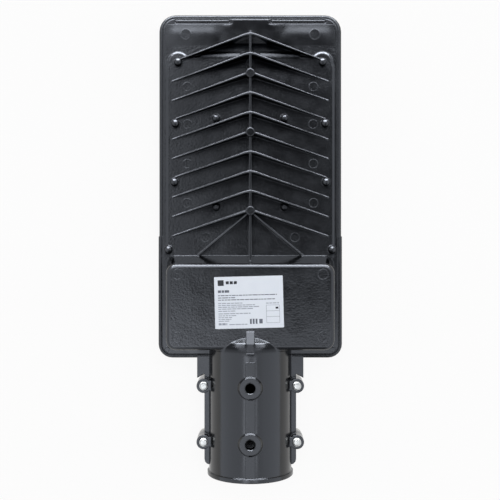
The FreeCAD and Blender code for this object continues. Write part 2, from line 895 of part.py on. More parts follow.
def socket_screws():
    """Return the four clamp screws, whose ends stand out of the upper lugs."""
    seat = -lug_height - flat_washer_thickness - spring_washer_thickness
    screws = []
    tip = seat + m6_length
    for x, y in lug_places():
        screws.append(turned(x, y, [
            (seat - m6_head_height, m6_head_radius - 0.6), (seat - m6_head_height + 0.6, m6_head_radius),
            (seat, m6_head_radius), (seat, m6_radius), (tip - 0.6, m6_radius), (tip, m6_radius - 0.6),
        ]))
    return Part.makeCompound(screws)


def led_driver():
    """Return the sealed driver with its two mounting ears."""
    top = driver_top_z()
    front = driver_front_y()
    rear = front - driver_width
    middle = (front + rear) / 2
    half = driver_length / 2
    case = plate(half, rear, front, 3.0, 3.0, top - driver_height, top)
    ear = plate(half + driver_ear_length, middle - driver_ear_width / 2, middle + driver_ear_width / 2,
                3.0, 3.0, top - driver_ear_thickness, top)
    body = case.fuse(ear)
    holes = [pin(x, y, top - driver_ear_thickness - 1, top + 1, m4_radius + screw_clearance)
             for x, y in driver_screw_places()]
    return body.cut(holes).removeSplitter()


def driver_screws():
    """Return the two screws that hang the driver from the roof of its box."""
    seat = driver_top_z() - driver_ear_thickness
    tip = box_top - blind_end - short_tip_gap
    return Part.makeCompound([screw(x, y, seat, tip, m4_radius, m4_head_radius, m4_head_height)
                              for x, y in driver_screw_places()])


def pole_places():
    """Return the plan places of the terminal block's three clamping screws."""
    x, y = block_screw_place()
    pitch = block_length / 3.6
    return [(x + pitch * step, y - block_width / 4) for step in (-1, 0, 1)]


def terminal_block():
    """Return the three-pole terminal block under the roof of the driver box."""
    x, y = block_screw_place()
    roof = box_top - casting_wall
    low = roof - block_height
    body = block(x - block_length / 2, x + block_length / 2, y - block_width / 2, y + block_width / 2,
                 low, roof)
    wells = [pin(px, py, low - 1, low + well_depth, terminal_screw_radius + thread_clearance)
             for px, py in pole_places()]
    socket = pin(x, y, roof - stud_depth, roof + 1, m3_radius + thread_clearance)
    return body.cut(wells + [socket])


def terminal_screws():
    """Return the clamping screws of the terminal block."""
    low = box_top - casting_wall - block_height
    return Part.makeCompound([pin(x, y, low + 0.4, low + well_depth, terminal_screw_radius)
                              for x, y in pole_places()])


def block_stud():
    """Return the stud that holds the terminal block to the roof."""
    x, y = block_screw_place()
    roof = box_top - casting_wall
    return pin(x, y, roof - stud_depth, box_top - blind_end - stud_tip_gap, m3_radius)


def supply_leads():
    """Return the driver's two input leads, short runs into the terminal block."""
    front = block_rear_y() + block_width
    rear = driver_front_y() - driver_width
    z = box_top - casting_wall - block_height / 2
    return Part.makeCompound([lead((x, front, z), (x, rear, z), lead_radius)
                              for x, _ in pole_places()[1:]])


def output_leads():
    """Return the two leads from the driver through the slot to the light board."""
    z = lead_slot_depth / 2
    end = lead_end_y() + output_lead_radius
    return Part.makeCompound([lead((x, driver_front_y(), z), (x, end, z), output_lead_radius)
                              for x in output_lead_xs()])


def earth_terminal():
    """Return the ring terminal of the earth lead, flat against the roof."""
    x, y = earth_place()
    roof = box_top - casting_wall
    half = earth_tongue_width / 2
    ring = pin(x, y, roof - earth_lug_thickness, roof, earth_ring_radius)
    tongue = block(x, x + earth_tongue_length, y - half, y + half, roof - earth_lug_thickness, roof)
    ring = ring.fuse(tongue)
    return ring.cut(pin(x, y, roof - 2, roof + 1, m3_radius + washer_clearance))


def earth_screw():
    """Return the earth screw."""
    x, y = earth_place()
    seat = box_top - casting_wall - earth_lug_thickness
    tip = box_top - blind_end - stud_tip_gap
    return screw(x, y, seat, tip, m3_radius, m3_head_radius, m3_head_height)


def earth_lead():
    """Return the earth lead between its ring terminal and the terminal block."""
    x, y = earth_place()
    z = box_top - casting_wall - lead_radius
    start = x + earth_tongue_length
    end = block_x - block_length / 2
    return lead((start, y, z), (end, y, z), lead_radius)


def gland_body():
    """Return the cable gland's body: a hexagon on the socket side and a thread through the wall."""
    rear = rear_y - gland_flange
    inner = rear_y + partition_thickness
    corner = gland_flats / 2 / math.cos(math.radians(30))
    flange = turned(0, 0, [(rear, corner), (rear_y, corner)], 6)
    thread = pin(0, 0, rear - gland_neck, inner + gland_tail, gland_thread_radius, 12)
    hole = pin(0, 0, rear - gland_neck - 1, inner + gland_tail + 1, gland_cable_radius, 12)
    return lay_along_y(flange.fuse(thread).cut(hole), 0, gland_z)


def gland_locknut():
    """Return the gland's locknut inside the driver compartment."""
    inner = rear_y + partition_thickness
    corner = gland_flats / 2 / math.cos(math.radians(30))
    nut = turned(0, 0, [(inner, corner), (inner + gland_nut_length, corner)], 6)
    hole = pin(0, 0, inner - 1, inner + gland_nut_length + 1,
               gland_thread_radius + thread_clearance, 12)
    return lay_along_y(nut.cut(hole), 0, gland_z)


def gland_cap_nut():
    """Return the gland's cap nut, narrowed towards the cable."""
    rear = rear_y - gland_flange - gland_cap_gap
    far = rear - gland_cap_length
    corner = gland_cap_flats / 2 / math.cos(math.radians(30))
    nut = turned(0, 0, [(far, corner - gland_cap_bevel), (far + gland_cap_bevel, corner),
                        (rear, corner)], 6)
    room = pin(0, 0, far + gland_cap_floor, rear + 1, gland_thread_radius + thread_clearance, 12)
    hole = pin(0, 0, far - 1, rear + 1, gland_cable_radius + screw_clearance, 12)
    return lay_along_y(nut.cut([room, hole]), 0, gland_z)


def gland_seal():
    """Return the rubber bush between the gland's body and its cap nut."""
    rear = rear_y - gland_flange - gland_neck
    far = rear_y - gland_flange - gland_cap_gap - gland_cap_length + gland_cap_floor
    bush = pin(0, 0, far, rear, gland_thread_radius - screw_clearance, 12)
    hole = pin(0, 0, far - 1, rear + 1, gland_cable_radius - gland_seal_squeeze, 12)
    return lay_along_y(bush.cut(hole), 0, gland_z)


def rating_label():
    """Return the plain sticker on the driver box."""
    sticker = block(-label_length / 2, label_length / 2, -label_height / 2, label_height / 2,
                    0, label_thickness)
    sticker.rotate(vec(0, 0, 0), vec(0, 0, 1), label_turn)
    sticker.translate(vec(label_x, label_y, box_top))
    return sticker


PIECES = (
    housing, bottom_cover, cover_gasket, lens_gasket, lens_plate, led_board, led_chips,
    lens_screws, board_screws, cover_screws, socket_screws, socket_flat_washers,
    socket_spring_washers, led_driver, driver_screws, terminal_block, terminal_screws, block_stud,
    supply_leads, output_leads, earth_terminal, earth_screw, earth_lead,
    gland_body, gland_locknut, gland_cap_nut, gland_seal, rating_label,
)

for make in PIECES:
    shape = make()
    name = make.__name__
    print(name, "valid", shape.isValid(), "solids", len(shape.Solids), "volume", round(shape.Volume, 1))
    shape.exportStep("parts/" + name + ".step")
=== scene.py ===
"""The looks of a street light head: its finishes, its fine detail, the studio and the camera.

The cast body, the bottom cover and the inner pieces keep their construction meshes and get their finishes here.
The sticker, the lens plate, the light points, the screws and the cable gland are modelled again with their fine
forms, each in the place of the plain solid that it stands for.
"""

import json
import logging
import math
from dataclasses import dataclass
from enum import Enum
from random import Random
from typing import Callable, Iterable, Sequence

import bmesh
import bpy
from mathutils import Matrix, Vector


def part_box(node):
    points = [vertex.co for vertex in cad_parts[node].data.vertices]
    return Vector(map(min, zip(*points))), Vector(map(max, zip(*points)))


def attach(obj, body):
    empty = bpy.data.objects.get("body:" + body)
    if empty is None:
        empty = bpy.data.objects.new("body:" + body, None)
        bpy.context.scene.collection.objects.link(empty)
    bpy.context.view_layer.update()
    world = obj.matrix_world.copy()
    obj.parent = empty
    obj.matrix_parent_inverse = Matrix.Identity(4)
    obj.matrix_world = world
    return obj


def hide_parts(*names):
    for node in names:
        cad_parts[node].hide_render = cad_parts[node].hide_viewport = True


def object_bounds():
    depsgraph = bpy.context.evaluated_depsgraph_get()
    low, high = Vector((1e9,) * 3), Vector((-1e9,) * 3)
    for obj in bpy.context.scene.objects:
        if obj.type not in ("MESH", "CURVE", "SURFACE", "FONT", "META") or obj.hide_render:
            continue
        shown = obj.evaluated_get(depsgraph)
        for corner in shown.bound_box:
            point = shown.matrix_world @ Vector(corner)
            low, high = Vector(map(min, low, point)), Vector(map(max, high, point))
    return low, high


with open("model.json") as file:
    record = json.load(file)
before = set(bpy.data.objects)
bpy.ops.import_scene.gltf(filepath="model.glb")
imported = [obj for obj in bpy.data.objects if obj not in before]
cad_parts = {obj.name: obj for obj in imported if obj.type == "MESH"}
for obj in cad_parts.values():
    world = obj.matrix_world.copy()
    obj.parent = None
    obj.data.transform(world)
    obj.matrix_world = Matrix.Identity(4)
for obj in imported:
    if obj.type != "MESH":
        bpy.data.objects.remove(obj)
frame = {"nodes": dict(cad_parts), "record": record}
CAD_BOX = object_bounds()

MM = 0.001
BODY = "root"
log = logging.getLogger("street_light_head")

Point = tuple[float, float, float]
FaceTest = Callable[[Vector, Vector], bool]


class Slot(Enum):
    """The record's material slots, by the finish that each one takes."""

    POWDER_COAT = "powder_coat"
    LENS_PLASTIC = "lens_plastic"
    ZINC_STEEL = "zinc_steel"
    SILICONE = "silicone"
    BOARD_MASK = "board_mask"
    PHOSPHOR = "phosphor"
    DRIVER_CASE = "driver_case"
    NYLON = "nylon"
    TERMINAL_PLASTIC = "terminal_plastic"
    TINNED_BRASS = "tinned_brass"
    LEAD_SLEEVE = "lead_sleeve"
    EARTH_SLEEVE = "earth_sleeve"
    LABEL_FILM = "label_film"


# Small tools for nodes and meshes


def srgb(code: str) -> tuple[float, float, float, float]:
    """Turn an sRGB hex colour into linear values.

    Args:
        code: six hex digits after a hash.

    Returns:
        Linear red, green and blue, and an alpha of 1.
    """
    parts = [int(code[i:i + 2], 16) / 255 for i in (1, 3, 5)]
    red, green, blue = (c / 12.92 if c <= 0.04045 else ((c + 0.055) / 1.055) ** 2.4 for c in parts)
    return red, green, blue, 1.0


def add_node(tree: bpy.types.NodeTree, kind: str, values: dict | None = None,
             links: dict | None = None, **settings: object) -> bpy.types.Node:
    """Add a node to a tree with its settings, its input values and its links.

    Args:
        tree: the material's or world's node tree.
        kind: the node type's Blender name.
        values: input name or number to value.
        links: input name or number to (node, output name or number).
        settings: attributes of the node itself.

    Returns:
        The new node.
    """
    node = tree.nodes.new(kind)
    for name, value in settings.items():
        setattr(node, name, value)
    for name, value in (values or {}).items():
        node.inputs[name].default_value = value
    for name, (source, output) in (links or {}).items():
        tree.links.new(source.outputs[output], node.inputs[name])
    return node


def deselect_all() -> None:
    """Leave edit mode and clear the selection."""
    if bpy.context.object and bpy.context.object.mode != "OBJECT":
        bpy.ops.object.mode_set(mode="OBJECT")
    bpy.ops.object.select_all(action="DESELECT")


def activate(piece: bpy.types.Object) -> None:
    """Select one object alone and make it the active one."""
    deselect_all()
    piece.select_set(True)
    bpy.context.view_layer.objects.active = piece


def edit(piece: bpy.types.Object) -> None:
    """Open one object in edit mode with nothing selected."""
    activate(piece)
    bpy.ops.object.mode_set(mode="EDIT")
    bpy.ops.mesh.select_all(action="DESELECT")


def leave_edit() -> None:
    """Go back to object mode."""
    bpy.ops.object.mode_set(mode="OBJECT")


def select_faces(piece: bpy.types.Object, test: FaceTest) -> None:
    """Select the faces of the mesh in edit mode whose centre and normal pass a test.

    Args:
        piece: the object in edit mode.
        test: takes a face's centre and normal.
    """
    bpy.context.tool_settings.mesh_select_mode = (False, False, True)
    mesh = bmesh.from_edit_mesh(piece.data)
    for face in mesh.faces:
        face.select_set(test(face.calc_center_median(), face.normal))
    bmesh.update_edit_mesh(piece.data)


def select_edges(piece: bpy.types.Object, test: Callable[[Vector, Vector], bool]) -> None:
    """Select the edges of the mesh in edit mode whose middle and direction pass a test.

    Args:
        piece: the object in edit mode.
        test: takes an edge's middle and its unit direction.
    """
    bpy.context.tool_settings.mesh_select_mode = (False, True, False)
    mesh = bmesh.from_edit_mesh(piece.data)
    for edge in mesh.edges:
        start, end = (vertex.co for vertex in edge.verts)
        edge.select_set(test((start + end) / 2, (end - start).normalized()))
    bmesh.update_edit_mesh(piece.data)


def apply_modifier(piece: bpy.types.Object, kind: str, **settings: object) -> None:
    """Give an object one modifier and apply it.

    Args:
        piece: the object.
        kind: the modifier's type.
        settings: the modifier's attributes.
    """
    activate(piece)
    modifier = piece.modifiers.new(kind.title(), kind)
    for name, value in settings.items():
        setattr(modifier, name, value)
    bpy.ops.object.modifier_apply(modifier=modifier.name)


def carve(piece: bpy.types.Object, tool: bpy.types.Object, operation: str = "DIFFERENCE") -> None:
    """Cut a tool out of a piece, or join it on, and drop the tool.

    Args:
        piece: the object that stays.
        tool: the object that is used up.
        operation: DIFFERENCE or UNION.
    """
    apply_modifier(piece, "BOOLEAN", object=tool, operation=operation, solver="EXACT")
    bpy.data.objects.remove(tool)


def soften(piece: bpy.types.Object, width: float, segments: int = 2, angle: float = 35) -> None:
    """Round the sharp edges of a piece and shade it smooth across them.

    Args:
        piece: the object.
        width: the bevel's width in metres.
        segments: how many flats the bevel has.
        angle: edges that turn by more than this many degrees are rounded.
    """
    apply_modifier(piece, "BEVEL", width=width, segments=segments, limit_method="ANGLE",
                   angle_limit=math.radians(angle), use_clamp_overlap=True)
    smooth(piece)


def smooth(piece: bpy.types.Object, angle: float = 40) -> None:
    """Shade a piece smooth where its faces meet at less than an angle in degrees."""
    activate(piece)
    bpy.ops.object.shade_smooth_by_angle(angle=math.radians(angle))


def recalculate(piece: bpy.types.Object) -> None:
    """Merge doubled points and turn every face outwards."""
    edit(piece)
    bpy.ops.mesh.select_all(action="SELECT")
    bpy.ops.mesh.remove_doubles(threshold=1e-7)
    bpy.ops.mesh.normals_make_consistent(inside=False)
    leave_edit()


def turned(profile: Sequence[tuple[float, float]], sides: int = 48) -> bpy.types.Object:
    """Make a round closed piece on the Z axis by extruding a disc and scaling its end.

    Args:
        profile: pairs of level and radius, in order along the axis, with no radius of zero.
        sides: how many flats go round.

    Returns:
        The new object, with its origin at the world's.
    """
    (level, radius), *rest = profile
    deselect_all()
    bpy.ops.mesh.primitive_circle_add(vertices=sides, radius=radius, fill_type="NGON", location=(0, 0, level))
    piece = bpy.context.object
    bpy.ops.object.transform_apply(location=True, rotation=True, scale=True)
    bpy.ops.object.mode_set(mode="EDIT")
    bpy.ops.mesh.select_all(action="SELECT")
    for next_level, next_radius in rest:
        bpy.ops.mesh.extrude_region_move(TRANSFORM_OT_translate={"value": (0, 0, next_level - level)})
        share = next_radius / radius
        bpy.ops.transform.resize(value=(share, share, 1), center_override=(0, 0, next_level))
        level, radius = next_level, next_radius
    leave_edit()
    recalculate(piece)
    return piece


def slab(low: Point, high: Point) -> bpy.types.Object:
    """Make a box between two corners, as the start of a piece.

    Args:
        low: its lowest corner.
        high: its highest corner.

    Returns:
        The new object, with its origin at the world's.
    """
    start, end = Vector(low), Vector(high)
    deselect_all()
    bpy.ops.mesh.primitive_cube_add(size=1, location=(start + end) / 2)
    piece = bpy.context.object
    piece.scale = end - start
    bpy.ops.object.transform_apply(location=True, rotation=True, scale=True)
    return piece


def join(pieces: Sequence[bpy.types.Object]) -> bpy.types.Object:
    """Join objects into the first one.

    Args:
        pieces: the objects, all with their place in their meshes.

    Returns:
        The first object, which now holds every mesh.
    """
    deselect_all()
    for piece in pieces:
        piece.select_set(True)
    bpy.context.view_layer.objects.active = pieces[0]
    if len(pieces) > 1:
        bpy.ops.object.join()
    return pieces[0]


def copies(piece: bpy.types.Object, places: Iterable[Point], turn: Matrix | None = None) -> bpy.types.Object:
    """Set copies of a piece in several places and join them, each from a mesh of its own.

    Args:
        piece: the model, which is used up.
        places: where the copies go.
        turn: a rotation that comes before the move.

    Returns:
        One object with all the copies.
    """
    made = []
    for place in places:
        mesh = piece.data.copy()
        mesh.transform(Matrix.Translation(place) @ (turn or Matrix.Identity(4)))
        copy = bpy.data.objects.new(piece.name, mesh)
        bpy.context.scene.collection.objects.link(copy)
        made.append(copy)
    bpy.data.objects.remove(piece)
    return join(made)


def shell_centres(node: str) -> list[Vector]:
    """Find the middle of each separate solid in a group of like solids.

    Args:
        node: the name of a construction node whose solids stand apart in plan.

    Returns:
        The middle of each solid's box, in order across and along the head.
    """
    mesh = bmesh.new()
    mesh.from_mesh(frame["nodes"][node].data)
    bmesh.ops.remove_doubles(mesh, verts=mesh.verts, dist=1e-6)
    left = set(mesh.verts)
    found = []
    while left:
        wave = [left.pop()]
        shell = list(wave)
        while wave:
            vertex = wave.pop()
            for edge in vertex.link_edges:
                other = edge.other_vert(vertex)
                if other in left:
                    left.remove(other)
                    wave.append(other)
                    shell.append(other)
        low = Vector(map(min, zip(*(v.co for v in shell))))
        high = Vector(map(max, zip(*(v.co for v in shell))))
        found.append((low + high) / 2)
    mesh.free()
    return sorted(found, key=lambda p: (round(p.y, 4), round(p.x, 4)))


# Finishes


@dataclass(frozen=True)
class Finish:
    """One surface finish. Each kind below builds its own pattern on this base."""

    name: str
    colour: str
    roughness: float = 0.5
    metallic: float = 0.0

    def build(self) -> bpy.types.Material:
        """Make the material.

        Returns:
            The material, with its shader and its pattern.
        """
        material = bpy.data.materials.new(self.name)
        material.use_nodes = True
        tree = material.node_tree
        tree.nodes.clear()
        shader = add_node(tree, "ShaderNodeBsdfPrincipled",
                          {"Base Color": srgb(self.colour), "Roughness": self.roughness,
                           "Metallic": self.metallic})
        add_node(tree, "ShaderNodeOutputMaterial", links={"Surface": (shader, "BSDF")})
        self.pattern(tree, shader, add_node(tree, "ShaderNodeTexCoord"))
        return material

    def pattern(self, tree: bpy.types.NodeTree, shader: bpy.types.Node, place: bpy.types.Node) -> None:
        """Add the grain that every plain finish has: a faint mottle of its gloss.

        Args:
            tree: the material's tree.
            shader: its main shader.
            place: the texture coordinates.
        """
        self.mottle(tree, shader, place, 3 * MM, 0.08)

    def mottle(self, tree: bpy.types.NodeTree, shader: bpy.types.Node, place: bpy.types.Node,
               size: float, swing: float) -> None:
        """Let the gloss vary a little from place to place.

        Args:
            tree: the material's tree.
            shader: its main shader.
            place: the texture coordinates.
            size: how large one patch is, in metres.
            swing: how far the roughness goes either way.
        """
        noise = add_node(tree, "ShaderNodeTexNoise", {"Scale": 1 / size, "Detail": 3.0},
                         {"Vector": (place, "Object")})
        add_node(tree, "ShaderNodeMapRange",
                 {"From Min": 0.3, "From Max": 0.7, "To Min": self.roughness - swing,
                  "To Max": self.roughness + swing},
                 {"Value": (noise, "Fac")})
        tree.links.new(tree.nodes[-1].outputs["Result"], shader.inputs["Roughness"])


@dataclass(frozen=True)
class PowderCoat(Finish):
    """Polyester powder coat on die-cast aluminium: near black, half gloss, over fields of coarse mould grain. Among
    the fins it carries a painted shadow cast from the nose side, and on the brow behind the driver box a painted
    dimming of its highlight.
    """

    grain: float = 1.4 * MM  # the grain is finer on the real casting, and this is what one pixel can show
    grain_height: float = 0.1 * MM
    smooth_share: float = 0.12
    wave: float = 24 * MM
    wave_height: float = 0.25 * MM
    edge_round: float = 1.0 * MM
    brow_round: float = 3.0 * MM
    specular: float = 0.5
    # Painted shade: on the brow the specular level drops to this where the surface faces the nose lamps, dimming
    # their highlight; the coat itself is no duller there.
    brow_dimmed_specular: float = 0.1
    brow_dim_tilt: tuple[float, float] = (0.1, 0.35)
    # The box among the fins where the painted shadow is laid.
    fins: tuple[Point, Point] = ((-62 * MM, 153 * MM, 2.9 * MM), (62 * MM, 313 * MM, 24 * MM))
    brow: tuple[Point, Point] = ((-22 * MM, 86 * MM, 23.5 * MM), (22 * MM, 97 * MM, 30.4 * MM))
    fields: Sequence[tuple[Point, Point]] = (
        ((-62 * MM, 156 * MM, 3.0 * MM), (62 * MM, 311 * MM, 4.3 * MM)),
        ((-56 * MM, 95 * MM, 22.8 * MM), (56 * MM, 150 * MM, 23.2 * MM)),
    )

    def pattern(self, tree: bpy.types.NodeTree, shader: bpy.types.Node, place: bpy.types.Node) -> None:
        """Add the grained fields, the slow waves of the casting and its soft edges, a painted dimming of the
        highlight on the brow where it faces the nose, and a painted shadow behind the fins.

        Args:
            tree: the material's tree.
            shader: its main shader.
            place: the texture coordinates.
        """
        self.mottle(tree, shader, place, 9 * MM, 0.04)
        grain = add_node(tree, "ShaderNodeTexNoise",
                         {"Scale": 1 / self.grain, "Detail": 2.0, "Roughness": 0.6},
                         {"Vector": (place, "Object")})
        first, second = (self.field(tree, place, low, high) for low, high in self.fields)
        inside = add_node(tree, "ShaderNodeMath", links={0: (first, 0), 1: (second, 0)}, operation="MAXIMUM")
        share = add_node(tree, "ShaderNodeMath", {1: self.smooth_share}, {0: (inside, 0)}, operation="MAXIMUM")
        brow = self.field(tree, place, *self.brow)
        radius = add_node(tree, "ShaderNodeMapRange", {"To Min": self.edge_round, "To Max": self.brow_round},
                          {"Value": (brow, 0)})
        edge = add_node(tree, "ShaderNodeBevel", links={"Radius": (radius, "Result")}, samples=8)
        # Painted shade: lower the gloss on the brow's slopes that face the nose, dimming the highlight that the
        # lamps would give.
        tilt = add_node(tree, "ShaderNodeSeparateXYZ", links={"Vector": (edge, "Normal")})
        start, end = self.brow_dim_tilt
        steep = add_node(tree, "ShaderNodeMapRange", {"From Min": start, "From Max": end}, {"Value": (tilt, 1)})
        painted_highlight_dim = add_node(tree, "ShaderNodeMath", links={0: (brow, 0), 1: (steep, "Result")}, operation="MULTIPLY")
        gloss = add_node(tree, "ShaderNodeMapRange", {"To Min": self.specular, "To Max": self.brow_dimmed_specular},
                         {"Value": (painted_highlight_dim, 0)})
        # Painted shadow: ambient occlusion sought in the direction of the nose lamps turns the coat into dark metal
        # just behind each fin, where the fin in front would cast its shadow.
        nose_lamp_way = add_node(tree, "ShaderNodeCombineXYZ", {"Y": 0.94, "Z": 0.34})
        shade = add_node(tree, "ShaderNodeAmbientOcclusion", {"Distance": 9 * MM}, {"Normal": (nose_lamp_way, "Vector")},
                         samples=8)
        painted_shadow_strength = add_node(tree, "ShaderNodeMapRange",
                       {"From Min": 0.12, "From Max": 0.48, "To Min": 0.92, "To Max": 0.0}, {"Value": (shade, "AO")})
        painted_shadow = add_node(tree, "ShaderNodeMath",
                          links={0: (painted_shadow_strength, "Result"), 1: (self.field(tree, place, *self.fins), 0)},
                          operation="MULTIPLY")
        painted_shadow_tint = add_node(tree, "ShaderNodeMath", {0: 1.0}, {1: (painted_shadow, 0)}, operation="SUBTRACT")
        tree.links.new(gloss.outputs["Result"], shader.inputs["Specular IOR Level"])
        tree.links.new(painted_shadow_tint.outputs[0], shader.inputs["Specular Tint"])
        tree.links.new(painted_shadow.outputs[0], shader.inputs["Metallic"])
        waves = add_node(tree, "ShaderNodeTexNoise", {"Scale": 1 / self.wave, "Detail": 1.0},
                         {"Vector": (place, "Object")})
        slow = add_node(tree, "ShaderNodeBump", {"Distance": self.wave_height},
                        {"Height": (waves, "Fac"), "Normal": (edge, "Normal")})
        bump = add_node(tree, "ShaderNodeBump", {"Distance": self.grain_height},
                        {"Height": (grain, "Fac"), "Strength": (share, 0), "Normal": (slow, "Normal")})
        tree.links.new(bump.outputs["Normal"], shader.inputs["Normal"])

    @staticmethod
    def field(tree: bpy.types.NodeTree, place: bpy.types.Node, low: Point, high: Point) -> bpy.types.Node:
        """Mark the inside of a box of the casting.

        Args:
            tree: the material's tree.
            place: the texture coordinates.
            low: the box's lowest corner.
            high: the box's highest corner.

        Returns:
            A node whose output is 1 inside the box and 0 outside.
        """
        start, end = Vector(low), Vector(high)
        moved = add_node(tree, "ShaderNodeVectorMath", {1: (start + end) / 2}, {0: (place, "Object")},
                         operation="SUBTRACT")
        shares = add_node(tree, "ShaderNodeVectorMath", {1: (end - start) / 2}, {0: (moved, 0)},
                          operation="DIVIDE")
        sizes = add_node(tree, "ShaderNodeVectorMath", links={0: (shares, 0)}, operation="ABSOLUTE")
        apart = add_node(tree, "ShaderNodeSeparateXYZ", links={"Vector": (sizes, 0)})
        across = add_node(tree, "ShaderNodeMath", links={0: (apart, 0), 1: (apart, 1)}, operation="MAXIMUM")
        most = add_node(tree, "ShaderNodeMath", links={0: (across, 0), 1: (apart, 2)}, operation="MAXIMUM")
        return add_node(tree, "ShaderNodeMath", {1: 1.0}, {0: (most, 0)}, operation="LESS_THAN")


@dataclass(frozen=True)
class ZincSteel(Finish):
    """Bright zinc plate on steel: pale metal with faint turning marks and a milky passivation."""

    mark: float = 0.25 * MM

    def pattern(self, tree: bpy.types.NodeTree, shader: bpy.types.Node, place: bpy.types.Node) -> None:
        """Add turning marks that run level round the screw, and a change of gloss.

        Args:
            tree: the material's tree.
            shader: its main shader.
            place: the texture coordinates.
        """
        self.mottle(tree, shader, place, 1.5 * MM, 0.1)
        level = add_node(tree, "ShaderNodeMapping", {"Scale": (0.15, 0.15, 1.0)},
                         {"Vector": (place, "Object")})
        marks = add_node(tree, "ShaderNodeTexNoise", {"Scale": 1 / self.mark, "Detail": 2.0},
                         {"Vector": (level, "Vector")})
        bump = add_node(tree, "ShaderNodeBump", {"Distance": 0.01 * MM, "Strength": 0.5},
                        {"Height": (marks, "Fac")})
        tree.links.new(bump.outputs["Normal"], shader.inputs["Normal"])


@dataclass(frozen=True)
class ClearPolycarbonate(Finish):
    """Moulded clear polycarbonate: glossy and clear, with slow waves from the mould."""

    def pattern(self, tree: bpy.types.NodeTree, shader: bpy.types.Node, place: bpy.types.Node) -> None:
        """Make the shader clear and add the mould's waves.

        Args:
            tree: the material's tree.
            shader: its main shader.
            place: the texture coordinates.
        """
        shader.inputs["Transmission Weight"].default_value = 1.0
        shader.inputs["IOR"].default_value = 1.585
        waves = add_node(tree, "ShaderNodeTexNoise", {"Scale": 1 / (14 * MM), "Detail": 1.0},
                         {"Vector": (place, "Object")})
        bump = add_node(tree, "ShaderNodeBump", {"Distance": 0.05 * MM, "Strength": 0.3},
                        {"Height": (waves, "Fac")})
        tree.links.new(bump.outputs["Normal"], shader.inputs["Normal"])


@dataclass(frozen=True)
class Moulded(Finish):
    """Moulded or cast plastic and rubber: one colour with a fine spark-eroded grain."""

    grain: float = 0.5 * MM
    grain_height: float = 0.02 * MM
    second_colour: str = ""

    def pattern(self, tree: bpy.types.NodeTree, shader: bpy.types.Node, place: bpy.types.Node) -> None:
        """Add the grain, and a second colour in slow patches where there is one.

        Args:
            tree: the material's tree.
            shader: its main shader.
            place: the texture coordinates.
        """
        self.mottle(tree, shader, place, 4 * MM, 0.06)
        grain = add_node(tree, "ShaderNodeTexNoise", {"Scale": 1 / self.grain, "Detail": 2.0},
                         {"Vector": (place, "Object")})
        bump = add_node(tree, "ShaderNodeBump", {"Distance": self.grain_height, "Strength": 0.6},
                        {"Height": (grain, "Fac")})
        tree.links.new(bump.outputs["Normal"], shader.inputs["Normal"])
        if self.second_colour:
            patches = add_node(tree, "ShaderNodeTexNoise", {"Scale": 1 / (6 * MM)},
                               {"Vector": (place, "Object")})
            mix = add_node(tree, "ShaderNodeMix", {"A": srgb(self.colour), "B": srgb(self.second_colour)},
                           {"Factor": (patches, "Fac")}, data_type="RGBA")
            tree.links.new(mix.outputs["Result"], shader.inputs["Base Color"])


@dataclass(frozen=True)
class EarthSleeve(Finish):
    """The green and yellow sleeve of an earth lead, with its stripes along the lead."""

    stripe: float = 1.4 * MM
    second_colour: str = "#e4cf2a"

    def pattern(self, tree: bpy.types.NodeTree, shader: bpy.types.Node, place: bpy.types.Node) -> None:
        """Add the yellow stripe.

        Args:
            tree: the material's tree.
            shader: its main shader.
            place: the texture coordinates.
        """
        self.mottle(tree, shader, place, 2 * MM, 0.05)
        bands = add_node(tree, "ShaderNodeTexWave",
                         {"Scale": 1 / (self.stripe * 2 * math.pi)}, {"Vector": (place, "Object")},
                         bands_direction="Y")
        ramp = add_node(tree, "ShaderNodeValToRGB", links={"Fac": (bands, "Fac")})
        ramp.color_ramp.interpolation = "CONSTANT"
        ramp.color_ramp.elements[0].color = srgb(self.colour)
        ramp.color_ramp.elements[1].position = 0.6
        ramp.color_ramp.elements[1].color = srgb(self.second_colour)
        tree.links.new(ramp.outputs["Color"], shader.inputs["Base Color"])


FINISHES: dict[Slot, Finish] = {
    Slot.POWDER_COAT: PowderCoat("powder_coat_on_die_cast_aluminium", "#08090b", 0.17),
    Slot.LENS_PLASTIC: ClearPolycarbonate("moulded_clear_polycarbonate", "#f6f9fa", 0.06),
    Slot.ZINC_STEEL: ZincSteel("zinc_plated_steel", "#b3b1aa", 0.36, 1.0),
    Slot.SILICONE: Moulded("silicone_rubber", "#b9bab6", 0.62),
    Slot.BOARD_MASK: Moulded("white_solder_mask", "#e9eae6", 0.4, grain=0.8 * MM, grain_height=0.008 * MM,
                             second_colour="#dfe1de"),
    Slot.PHOSPHOR: Moulded("light_phosphor", "#e8c33a", 0.45, second_colour="#edcf55"),
    Slot.DRIVER_CASE: Moulded("potted_driver_case", "#c4c5c2", 0.5, grain=0.9 * MM),
    Slot.NYLON: Moulded("black_glass_filled_nylon", "#1b1b1d", 0.42, grain=0.6 * MM, second_colour="#202023"),
    Slot.TERMINAL_PLASTIC: Moulded("white_terminal_nylon", "#e4e1d8", 0.45),
    Slot.TINNED_BRASS: ZincSteel("tinned_brass", "#cfc8b0", 0.3, 1.0),
    Slot.LEAD_SLEEVE: Moulded("brown_silicone_sleeve", "#5a2c1a", 0.45, second_colour="#532716"),
    Slot.EARTH_SLEEVE: EarthSleeve("green_yellow_sleeve", "#2f8a3a", 0.45),
    Slot.LABEL_FILM: Moulded("white_polyester_label", "#dfe4ec", 0.5, grain=1.2 * MM, grain_height=0.004 * MM,
                             second_colour="#d9dfe8"),
}
MARK_FINISH = PowderCoat("powder_coat_on_mould_marks", "#08090b", 0.17, edge_round=0.1 * MM)
PRINT_TONES = {
    "dark": Moulded("dark_label_print", "#0c0d10", 0.25),
    "grey": Moulded("grey_label_print", "#50545f", 0.3),
    "light": Moulded("light_label_print", "#8b919d", 0.4),
}


